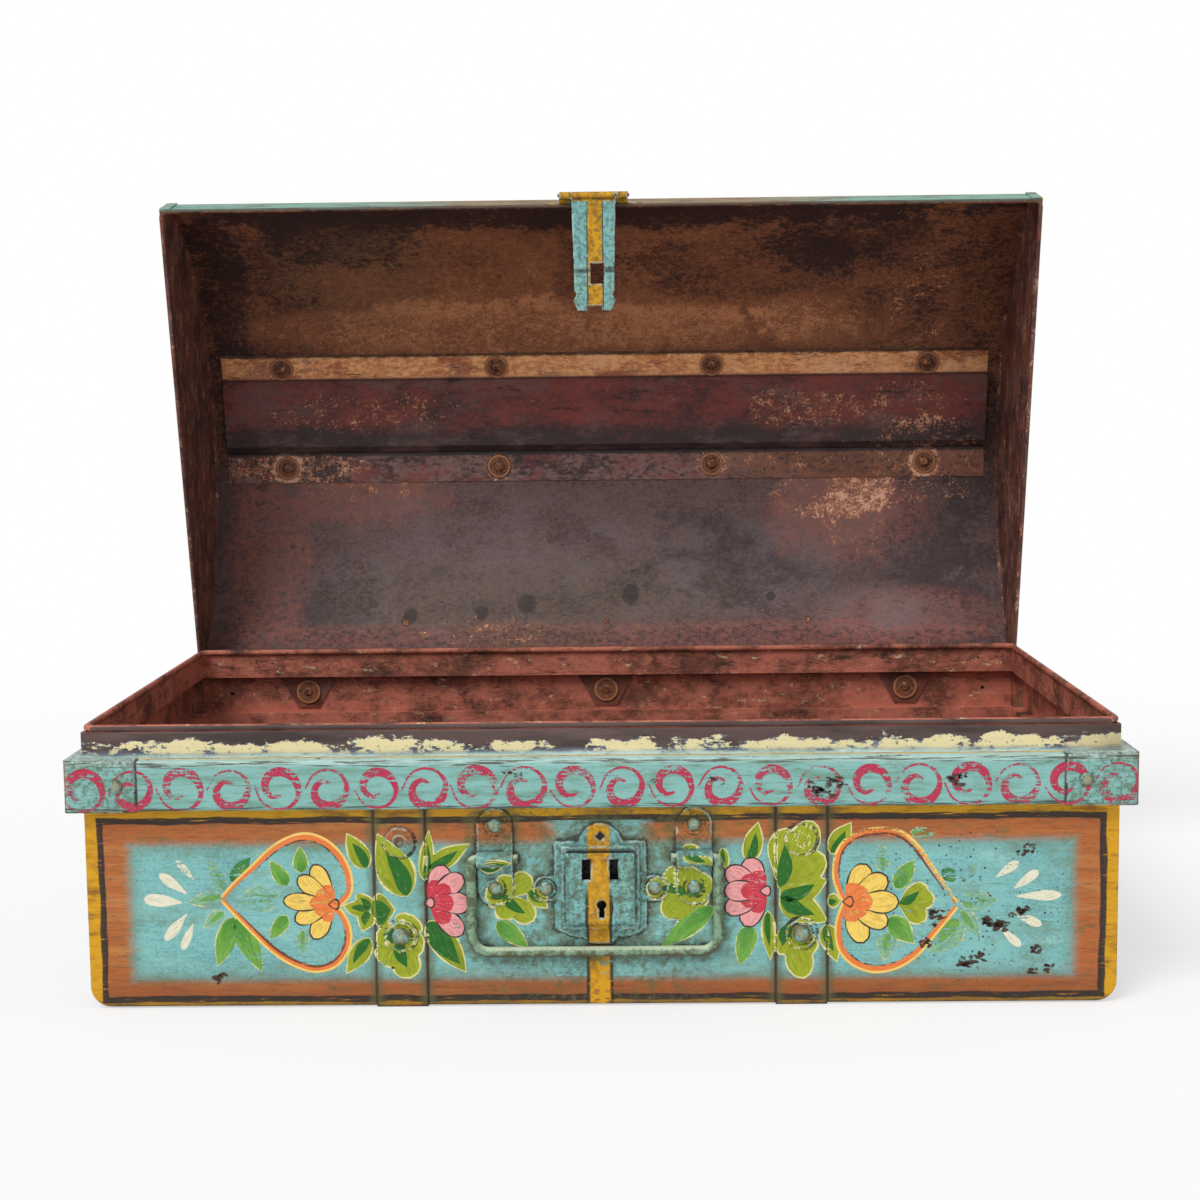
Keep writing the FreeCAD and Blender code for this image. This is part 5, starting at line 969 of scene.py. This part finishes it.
ornament = {  # places in mm on the front, seen square on
    "leaves": [  # foot, tip, width, kind, how much of the paint is left
        (-219.7, 70.4, -229.0, 88.1, 8.5, "faded", 0.5), (-216.2, 76.3, -204.3, 90.4, 8.5, "deep", 0.7),
        (-221.4, 67.1, -241.0, 63.5, 8.2, "faded", 0.5), (-220.9, 57.8, -232.8, 48.7, 7.6, "faded", 0.6),
        (-183.0, 73.5, -192.8, 87.8, 8.5, "plain", 0.75), (-174.9, 81.0, -175.3, 96.1, 8.5, "plain", 0.8),
        (-188.5, 66.9, -213.3, 63.7, 15.3, "faded", 0.35), (-183.9, 55.1, -193.9, 41.6, 8.5, "plain", 0.8),
        (-174.6, 46.6, -175.5, 32.2, 6.8, "faded", 0.6), (-215.3, 54.4, -225.3, 25.8, 11.9, "plain", 0.9),
        (-213.6, 53.6, -199.7, 22.2, 12.7, "plain", 0.9), (-136.3, 83.6, -147.3, 103.4, 11.6, "bright", 1),
        (-112.8, 67.1, -129.2, 103.2, 20.4, "bright", 1), (-102.5, 76.3, -99.7, 104.7, 7.8, "bright", 0.9),
        (-135.7, 57.7, -150.0, 60.7, 8.8, "bright", 1), (-135.2, 58.4, -142.4, 68.2, 8.8, "bright", 1),
        (-135.8, 57.2, -139.6, 46.3, 9.5, "bright", 1), (-134.4, 58.1, -120.9, 58.8, 18.7, "dark", 1),
        (-135.6, 41.2, -149.3, 21.0, 10.9, "bright", 1), (-118.4, 40.3, -130.6, 44.6, 15.6, "bright", 1),
        (-118.4, 40.3, -109.8, 54.5, 15.6, "bright", 1), (-118.4, 40.3, -105.0, 34.3, 15.6, "bright", 1),
        (-118.4, 40.3, -112.3, 18.3, 15.6, "bright", 1), (-118.4, 40.3, -127.8, 26.0, 15.6, "bright", 1),
        (-100.9, 51.1, -80.0, 21.4, 15.6, "dark", 1), (-100.2, 83.0, -77.0, 97.0, 10.5, "bright", 1),
        (-70.2, 83.3, -52.3, 87.3, 8.2, "dark", 1), (-56.9, 66.9, -66.6, 65.7, 12.7, "bright", 1),
        (-56.9, 66.9, -51.8, 77.8, 12.7, "bright", 1), (-56.9, 66.9, -40.5, 76.8, 12.7, "bright", 1),
        (-56.9, 66.9, -39.9, 51.7, 12.7, "bright", 1), (-56.9, 66.9, -54.1, 52.4, 12.7, "bright", 1),
        (-40.9, 69.9, -31.8, 59.2, 10.7, "bright", 0.9), (-60.9, 50.6, -43.3, 35.9, 10.7, "plain", 0.8),
        (47.7, 94.3, 66.0, 84.8, 9.4, "bright", 1), (50.0, 67.4, 27.3, 71.3, 12.7, "bright", 1),
        (50.0, 67.4, 40.3, 81.9, 12.7, "bright", 1), (50.0, 67.4, 53.8, 82.4, 12.7, "bright", 1),
        (50.0, 67.4, 64.1, 75.4, 12.7, "bright", 1), (50.0, 67.4, 62.2, 62.3, 12.7, "bright", 1),
        (50.0, 67.4, 47.4, 50.7, 12.7, "bright", 1), (50.0, 67.4, 37.6, 53.6, 12.7, "bright", 1),
        (65.3, 58.5, 35.6, 35.6, 11.7, "plain", 0.85), (71.0, 93.5, 73.6, 81.6, 4.6, "bright", 0.9),
        (86.6, 85.9, 91.8, 108.3, 10.7, "bright", 1), (87.3, 47.6, 81.1, 24.3, 11.7, "plain", 0.9),
        (104.7, 70.6, 108.0, 104.7, 17.0, "bright", 1), (104.7, 70.6, 123.5, 108.7, 17.0, "bright", 1),
        (104.7, 70.6, 129.7, 88.7, 17.0, "bright", 1), (104.7, 64.7, 131.3, 74.5, 17.0, "bright", 1),
        (104.7, 64.7, 131.4, 50.3, 17.0, "bright", 1), (97.4, 55.6, 98.9, 27.5, 7.5, "bright", 1),
        (110.4, 47.9, 104.2, 31.1, 14.3, "bright", 1), (110.4, 47.9, 123.2, 31.0, 14.3, "bright", 1),
        (110.4, 47.9, 118.3, 16.7, 14.3, "bright", 1), (134.1, 90.4, 145.4, 107.7, 11.2, "bright", 1),
        (132.2, 62.0, 139.5, 61.9, 7.8, "bright", 0.8), (130.9, 47.8, 137.5, 26.2, 10.5, "bright", 1),
        (164.2, 79.3, 163.4, 96.0, 7.8, "faded", 0.4), (171.6, 69.2, 182.1, 85.5, 10.2, "plain", 0.7),
        (174.1, 60.0, 189.5, 69.9, 10.5, "bright", 0.9), (174.1, 60.0, 193.7, 63.2, 10.5, "bright", 0.9),
        (174.1, 60.0, 188.9, 50.4, 10.5, "bright", 0.9), (168.0, 51.7, 182.4, 36.5, 12.2, "plain", 0.95),
        (167.7, 42.5, 165.3, 26.5, 10.5, "faded", 0.6), (200.1, 74.0, 205.7, 80.7, 10.2, "deep", 0.6),
        (211.5, 70.6, 217.1, 83.9, 8.5, "faded", 0.3), (210.0, 60.6, 230.3, 62.1, 11.9, "faded", 0.45),
        (210.0, 55.6, 220.8, 40.1, 8.8, "faded", 0.55), (208.4, 50.6, 192.3, 30.5, 19.0, "faded", 0.5),
        (180.4, 102.5, 195.0, 100.7, 6.8, "faded", 0.4),
    ],
    "rays": [  # foot, tip, width, how much is left
        ((-237.9, 77.3), (-247.9, 88.8), 4.4, 0.5), ((-242.5, 68.9), (-258.1, 80.8), 6.1, 0.95),
        ((-245.5, 63.6), (-267.7, 65.8), 7.8, 1), ((-242.9, 56.5), (-256.0, 40.9), 6.1, 0.95),
        ((-239.1, 50.7), (-246.1, 35.2), 5.1, 0.9), ((230.2, 75.5), (243.1, 84.5), 5.4, 0.6),
        ((240.8, 68.7), (254.5, 79.0), 5.8, 0.8), ((242.2, 63.9), (268.2, 64.5), 6.1, 1),
        ((240.2, 53.7), (256.9, 46.5), 5.4, 0.6), ((233.0, 44.9), (244.8, 33.9), 5.1, 0.9),
    ],
    "hearts": {
        "leftUpper": [
            (-221.2, 65.7), (-213.0, 74.6), (-202.8, 83.7), (-191.0, 94.5), (-179.3, 100.8), (-169.4, 101.9),
            (-159.7, 97.6), (-152.5, 90.0), (-147.9, 80.0), (-147.6, 69.9), (-151.6, 64.1), (-155.8, 60.7),],
        "leftLower": [
            (-221.2, 65.4), (-213.5, 56.9), (-203.9, 46.8), (-192.7, 35.7), (-181.4, 28.0), (-168.3, 23.7),
            (-156.6, 27.0), (-149.8, 36.3), (-148.7, 46.4), (-151.8, 54.8), (-155.5, 59.1),],
        "rightUpper": [
            (206.7, 59.8), (200.1, 69.0), (191.9, 80.8), (183.7, 92.5), (173.9, 100.9), (160.9, 102.6), (147.9, 99.4),
            (139.8, 91.1), (137.4, 77.8), (139.8, 67.8), (143.1, 61.9),],
        "rightLower": [
            (206.7, 58.4), (200.3, 50.6), (190.6, 39.0), (182.5, 29.8), (171.0, 23.1), (157.9, 21.5), (146.5, 26.6),
            (139.9, 35.9), (139.1, 47.7), (141.2, 56.1), (143.1, 60.7),],
    },
    "flowers": [  # centre, width of a petal, kind, the petals' tips
        ((-156.0, 61.9), 9.5, "yellow", [(-167.4, 85.1), (-168.6, 41.8), (-176.3, 78.2), (-178.7, 52.2), (-185.3, 64.3)]),
        ((144.3, 61.4), 12.2, "yellow", [(154.5, 83.0), (153.0, 37.2), (166.2, 75.9), (166.3, 47.0), (173.1, 60.9)]),
        ((-100.1, 62.5), 11.9, "rose", [(-91.1, 84.2), (-81.6, 43.4), (-80.9, 78.6), (-76.8, 61.8)]),
        ((96.2, 68.1), 11.9, "rose", [(84.9, 86.9), (83.9, 47.8), (73.3, 80.7), (73.2, 56.2), (72.6, 68.3)]),
    ],
    "chips": [
        ((248.7, 92.0), 6.1), ((244.6, 89.5), 3.4), ((254.4, 91.1), 2.4), ((209.0, 76.0), 2.4), ((245.9, 55.3), 6.8),
        ((239.4, 52.9), 3.4), ((230.5, 47.9), 10.2), ((223.9, 48.8), 4.1), ((211.5, 73.9), 1.7), ((197.0, 53.2), 6.8),
        ((193.8, 47.3), 3.7), ((189.8, 36.9), 5.8), ((184.0, 39.0), 2.0), ((211.9, 24.2), 6.8), ((220.4, 27.5), 7.8),
        ((254.3, 32.1), 5.8), ((251.7, 19.2), 4.1), ((261.3, 21.7), 4.4), ((260.2, 18.6), 2.7), ((-224.2, 18.2), 6.1),
        ((171.5, 89.2), 1.7), ((203.2, 94.0), 1.7), ((220.4, 75.5), 1.4), ((226.2, 65.5), 1.7), ((129.2, 129.4), 10.2),
        ((135.6, 134.3), 6.8), ((206.4, 134.5), 7.5), ((208.8, 137.0), 3.4), ((122.7, 132.7), 4.1), ((-52.8, 141.0), 3.8),
        ((-46.7, 139.7), 3.3), ((65.9, 136.3), 3.1), ((70.8, 133.2), 2.5), ((30.8, 135.3), 2.5),
    ],
    "rings": [
        ((-117, 43), 6.6), ((117, 43), 6.6), ((-61.4, 71), 6.2), ((54.6, 71), 6.2), ((-61.4, 108.3), 6.2),
        ((54.6, 108.3), 6.2), ((-31.8, 70.6), 6.0), ((31.8, 70.6), 6.0), ((-117, 99), 9.8), ((117, 99), 9.8),
        ((-117, 43), 9.8), ((117, 43), 9.8),
    ],
    "chipSeed": 5,
    "stripeLines": [  # what is left of the black lines beside the lock's stripe
        ([(6.0, 69.0), (6.6, 62.0), (5.9, 55.0), (6.2, 48.6)], [0.4, 2.0, 1.2, 1.6], 0.8),
        ([(5.6, 46.0), (5.9, 38.0)], [1.4, 1.0], 0.8), ([(-7.4, 62.0), (-8.0, 56.0), (-7.6, 49.0)], [0.5, 1.4, 0.9], 0.7),
        ([(-7.6, 46.0), (-7.4, 38.5)], [1.3, 0.9], 0.7), ([(-7.5, 90.0), (-7.3, 78.5)], [0.5, 0.9], 0.4),
    ],
}
leafLooks = {
    "bright": {"body": "lime", "end": "limePale", "deep": "leafDark", "deepEnd": "leafDark", "rim": 0.85, "keep": 0.80,
               "reach": 0.74, "share": 0.5, "lean": -0.2},
    "dark": {"body": "lime", "end": "lime", "deep": "leafDark", "deepEnd": "leafDark", "rim": 0.8, "keep": 0.80,
             "reach": 0.86, "share": 0.8, "lean": -0.1},
    "plain": {"body": "leafPlain", "end": "leafPlain", "deep": "leafMid", "deepEnd": "leafPlain", "rim": 0.6, "keep": 0.62,
              "reach": 0.74, "share": 0.6, "lean": -0.1},
    "faded": {"body": "leafFaded", "end": "leafFaded", "deep": "leafPlain", "deepEnd": "leafPlain", "rim": 0.6,
              "keep": 0.62, "reach": 0.74, "share": 0.4, "lean": -0.1},
    "deep": {"body": "leafDeep", "end": "leafDeep", "deep": "leafDark", "deepEnd": "leafPlain", "rim": 0.0, "keep": 0.0,
             "reach": 0.74, "share": 0.7, "lean": -0.1},
}
flowerLooks = {"yellow": {"base": "petalHeart", "tip": "petal", "heart": 0.5, "dot": "petalHeart"},
               "rose": {"base": "rose", "tip": "roseTip", "heart": 0.62, "dot": "roseTip"}}


def paintLeaves(work):
    leaves = [((x, z), (tipX, tipZ), width, leafLooks[sort], hold) for x, z, tipX, tipZ, width, sort,
              hold in ornament["leaves"]]
    shared = [base for base, tip, width, look, hold in leaves]
    for base, tip, width, look, hold in leaves:  # cream outlines first, so that lobes join
        if look["rim"]:
            work.leaf(base, tip, width, "outline", hold * look["keep"], 0.05, grow=look["rim"],
                      blunt=shared.count(base) > 2)
    for k, (base, tip, width, look, hold) in enumerate(leaves):
        together = shared.count(base)
        work.leaf(base, tip, width, look["body"], hold, 0.07 + k % 5 * 0.003, blunt=together > 2, last=look["end"])
        if together < 3 or shared[:k].count(base) in (0, 3):
            short = Vector(base).lerp(Vector(tip), look["reach"])
            work.leaf(base, short, width * look["share"], look["deep"], hold * 0.86, 0.09, lean=look["lean"],
                      last=look["deepEnd"])
    for inner, outer, width, hold in ornament["rays"]:
        work.leaf(inner, outer, width, "ray", hold * 0.95, 0.07, blunt=True)


def paintHearts(work):
    for name, line in ornament["hearts"].items():
        out = 1 if name in ("leftUpper", "rightLower") else -1
        ends = [1.4, 2.6, 3.2, 3.0, 2.0] if name.startswith("right") else [1.2, 2.2, 3.0, 3.2, 2.4]
        work.stroke(line, [width * 1.1 for width in ends], "heartPale", 0.9 if name != "rightUpper" else 0.6, 0.10,
                    aside=out * 1.3)
        if name == "rightUpper":  # its first stretch is nearly worn off
            work.stroke(line[:5], ends[:3], "heart", 0.34, 0.115)
            work.stroke(line[4:], ends[2:], "heart", 0.92, 0.116)
        else:
            work.stroke(line, ends, "heart", 0.92, 0.115)
        if name in ("leftLower", "rightUpper"):
            work.stroke(line[1:-2], [0.5, 1.6, 1.3, 0.5], "burnt", 0.72, 0.13, aside=-out * 0.9)
        work.stroke(line[2:-1], [0.3, 0.8, 0.7, 0.3], "ink", 0.3, 0.14, aside=-out * 1.7)


def paintFlowers(work):
    for (x, z), width, sort, tips in ornament["flowers"]:
        centre, look = Vector((x, z)), flowerLooks[sort]
        for i, tip in enumerate(tips):
            tall = 0.13 + i * 0.014
            work.leaf(centre, tip, width, "ink", 0.85, tall, grow=0.75, blunt=True)
            work.leaf(centre, tip, width, look["tip"], 0.95, tall + 0.005, blunt=True)
            work.leaf(centre, centre.lerp(Vector(tip), look["heart"]), width * 0.86, look["base"], 0.74, tall + 0.010,
                      blunt=True)
        for half, tint, hold, proud in ((3.4, "ink", 0.95, 0.215), (2.5, look["dot"], 1.0, 0.222)):
            work.leaf(centre - Vector((half, 0)), centre + Vector((half, 0)), half * 2, tint, hold, proud, blunt=True)


def paintRingsAndChips(work):  # rings of dirt and painted shade round the rivet heads, and chips in the paint
    for (x, z), size in ornament["rings"]:
        circle = [(x + size * math.cos(k / 9 * math.tau), z + size * math.sin(k / 9 * math.tau)) for k in range(10)]
        # dark rings at the feet of the rivets and washers: dirt and painted shade
        work.stroke(circle, [2.0, 0.6, 1.8, 1.1, 0.4, 1.6, 2.0], "grime", 0.42, 0.2)
    rng = random.Random(ornament["chipSeed"])
    for place, size in ornament["chips"]:
        for k in range(9 if size > 3 else 3):
            turn = rng.uniform(-0.9, 0.9)
            reach = Vector((math.cos(turn), math.sin(turn))) * size * rng.uniform(0.12, 0.5)
            at = Vector(place) + Vector((rng.uniform(-0.6, 0.6), rng.uniform(-0.4, 0.4))) * size
            work.leaf(at - reach, at + reach, size * rng.uniform(0.18, 0.42), "chip", 0.62, 0.228)


front = Painting(faceTree(["tub_front_panel", "body_strap_left", "body_strap_right", "handle_bracket_left",
                           "handle_bracket_right",
                           "lock_backplate", "strap_washers", "strap_flat_rivets"]))
for paint in (paintLeaves, paintHearts, paintFlowers, paintRingsAndChips):
    paint(front)
painted = front.piece("front_ornament", "painted_sheet")
lock = Painting(faceTree(["lock_case", "lock_backplate"]))
for line, widths, hold in ornament["stripeLines"]:
    lock.stroke(line, widths, "ink", hold, 0.08)
lock.piece("stripe_lines", "painted_fittings")
print("ornament painted:", len(painted.data.polygons), "faces")

scroll = {"pitch": 28.4, "height": 132.2, "seed": 4, "hold": 0.52, "brushSeed": 3.0, "proud": 0.00012, "sway": 0.16,
          "size": (0.93, 1.04),
          "longest": 0.006, "lowest": 0.1195,
          # the turn in degrees, how many, the first one's place
          "sides": [(0, 22, -298.3), (90, 12, -156.0), (-90, 12, -156.0), (180, 22, -298.3)],
          "line": [(-14.4, -0.5), (-9.5, 8.2), (-1.5, 11.8), (7.0, 9.4), (11.2, 1.6), (7.6, -7.4), (-0.5, -10.4),
                   (-7.4, -6.6), (-8.2, 0.4), (-3.6, 4.8), (1.4, 3.2)],
          "widths": [0.9, 1.1, 1.3, 1.6, 2.5, 4.0, 5.3, 5.5, 4.8, 3.4, 1.3]}


def scrollUnit(name, flip):
    rows = strokeRows([(x, z * flip) for x, z in scroll["line"]], scroll["widths"])
    wide, count = len(rows[0]), len(rows) * len(rows[0])
    mesh = bpy.data.meshes.new(name)
    faces = [(a, a + 1, a + wide + 1, a + wide) for a in range(count - wide) if a % wide < wide - 1]
    mesh.from_pydata([(x / 1000, 0, z / 1000) for row in rows for x, z in row], [], faces)
    marked(mesh, "tint", "FLOAT_COLOR", [paints["crimson"]] * count)
    marked(mesh, "brush", "FLOAT_VECTOR",
           [(a // wide * brush["hair"], a % wide / (wide - 1) * 2 - 1, scroll["brushSeed"]) for a in range(count)])
    marked(mesh, "hold", "FLOAT", [scroll["hold"]] * count)
    unit = added(name, mesh)
    return unit


def scrollTree(units):
    tree, given = newTree("runningScroll", {"Count": "Int", "Pitch": "Float", "First": "Vector", "Seed": "Int"})
    grow = partial(addNode, tree)
    step = grow("ShaderNodeCombineXYZ", {}, {0: given["Pitch"]})
    line = grow("GeometryNodeMeshLine", {"mode": "OFFSET", "count_mode": "TOTAL"},
                {"Count": given["Count"], "Start Location": given["First"], "Offset": step})
    odd = grow("ShaderNodeMath", {"operation": "MODULO"}, [grow("GeometryNodeInputIndex", {}, {}), 2.0])
    even = grow("ShaderNodeMath", {"operation": "SUBTRACT"}, [1.0, odd])
    joined = tree.nodes.new("GeometryNodeJoinGeometry")
    sway, (least, most) = scroll["sway"], scroll["size"]
    for unit, chosen in zip(units, (odd, even)):
        shape = grow("GeometryNodeObjectInfo", {}, {"Object": unit}, "Geometry")
        turn = grow("FunctionNodeRandomValue", {"data_type": "FLOAT_VECTOR"},
                    {"Min": (0, -sway, 0), "Max": (0, sway, 0), "Seed": given["Seed"]})
        size = grow("FunctionNodeRandomValue", {"data_type": "FLOAT"}, {2: least, 3: most, "Seed": given["Seed"]}, 1)
        placed = grow("GeometryNodeInstanceOnPoints", {},
                      {"Points": line, "Selection": chosen, "Instance": shape, "Rotation": turn, "Scale": size})
        tree.links.new(placed, joined.inputs[0])
    return handOut(tree, grow("GeometryNodeRealizeInstances", {}, {0: joined.outputs[0]}), "brush")


def paintScrolls():  # a run of scrolls on each side of the band, laid on it from outside
    units = [scrollUnit("scrollUp", 1), scrollUnit("scrollDown", -1)]
    tree = scrollTree(units)
    caps = [name for name in nodes if name.startswith("corner_cap_") and not name.endswith("rivets")]
    band = faceTree([f"tub_{side}_panel" for side in ("front", "back", "left", "right")] + caps)
    whole = bmesh.new()
    for turn, count, first in scroll["sides"]:
        part = grown(tree, {"Count": count, "Pitch": scroll["pitch"] / 1000,
                            "First": (first / 1000, 0, scroll["height"] / 1000), "Seed": scroll["seed"]
                            + abs(turn)}, "scroll")
        spin = Matrix.Rotation(math.radians(turn), 4, "Z")
        out = spin @ Vector((0, -1, 0))
        for vertex in part.vertices:
            hit = band.ray_cast(spin @ vertex.co + out * 0.5, -out)[0]
            vertex.co = hit + out * scroll["proud"] if hit else Vector((0, 0, -1))  # past the corner: taken out below
        whole.from_mesh(part)
        bpy.data.meshes.remove(part)
    torn = [face for face in whole.faces if max(edge.calc_length() for edge in face.edges) > scroll["longest"]
            or min(vertex.co.z for vertex in face.verts) < scroll["lowest"]]
    bmesh.ops.delete(whole, geom=torn, context="FACES")
    mesh = bpy.data.meshes.new("band_scroll")
    whole.to_mesh(mesh)
    whole.free()
    for unit in units:
        bpy.data.objects.remove(unit)
    return shown("band_scroll", mesh, "brush", "tub", "painted_sheet")


scrolls = paintScrolls()
print("scrolls painted:", len(scrolls.data.polygons), "faces")


def makeStudio():
    half, tone, white = studio["floorHalf"], studio["floorTone"], (1, 1, 1, 1)
    mesh = bpy.data.meshes.new("floor")
    mesh.from_pydata([(-half, -half, 0), (half, -half, 0), (half, half, 0), (-half, half, 0)], [], [(0, 1, 2, 3)])
    floor = added("floor", mesh)
    f = Finish("paleFloor")
    away = f.node("ShaderNodeVectorMath", {"operation": "LENGTH"}, {"Vector": f.point}, "Value") / 1000
    light = f.node("ShaderNodeLightPath", {}, {}, "Is Camera Ray")
    plain = f.node("ShaderNodeBsdfDiffuse", {}, {"Color": (tone, tone, tone, 1)})
    glow = f.node("ShaderNodeEmission", {}, {"Color": white, "Strength": 1.0})
    mask = f.most(f.step(away, studio["whiteFrom"], studio["whiteTo"]), studio["floorGlow"]) * light
    f.node("ShaderNodeOutputMaterial", {}, {"Surface": f.node("ShaderNodeMixShader", {}, {0: mask, 1: plain, 2: glow})})
    floor.data.materials.append(f.material)
    world = bpy.data.worlds.new("studio")
    bpy.context.scene.world = world
    world.use_nodes = True
    world.node_tree.nodes.clear()
    lit = partial(addNode, world.node_tree)
    camera, glossy, clear = (lit("ShaderNodeLightPath", {}, {}, f"Is {kind} Ray")
                             for kind in ("Camera", "Glossy", "Transmission"))
    seen = lit("ShaderNodeMath", {"operation": "MAXIMUM"},
               [lit("ShaderNodeMath", {"operation": "MAXIMUM"}, [camera, glossy]), clear])
    level = lit("ShaderNodeMapRange", {}, {"Value": seen, "To Min": studio["ambient"], "To Max": 1.0})
    lit("ShaderNodeOutputWorld", {}, {"Surface": lit("ShaderNodeBackground", {}, {"Color": white, "Strength": level})})
    key = added("key", bpy.data.lights.new("key", "SUN"))
    key.data.energy = studio["keyStrength"]
    key.data.angle = math.radians(studio["keySoftness"])
    key.rotation_mode = "QUATERNION"
    key.rotation_quaternion = Vector(studio["keyFrom"]).to_track_quat("Z", "Y")
    bpy.context.scene.view_settings.view_transform = "Standard"


makeStudio()
aimCamera()
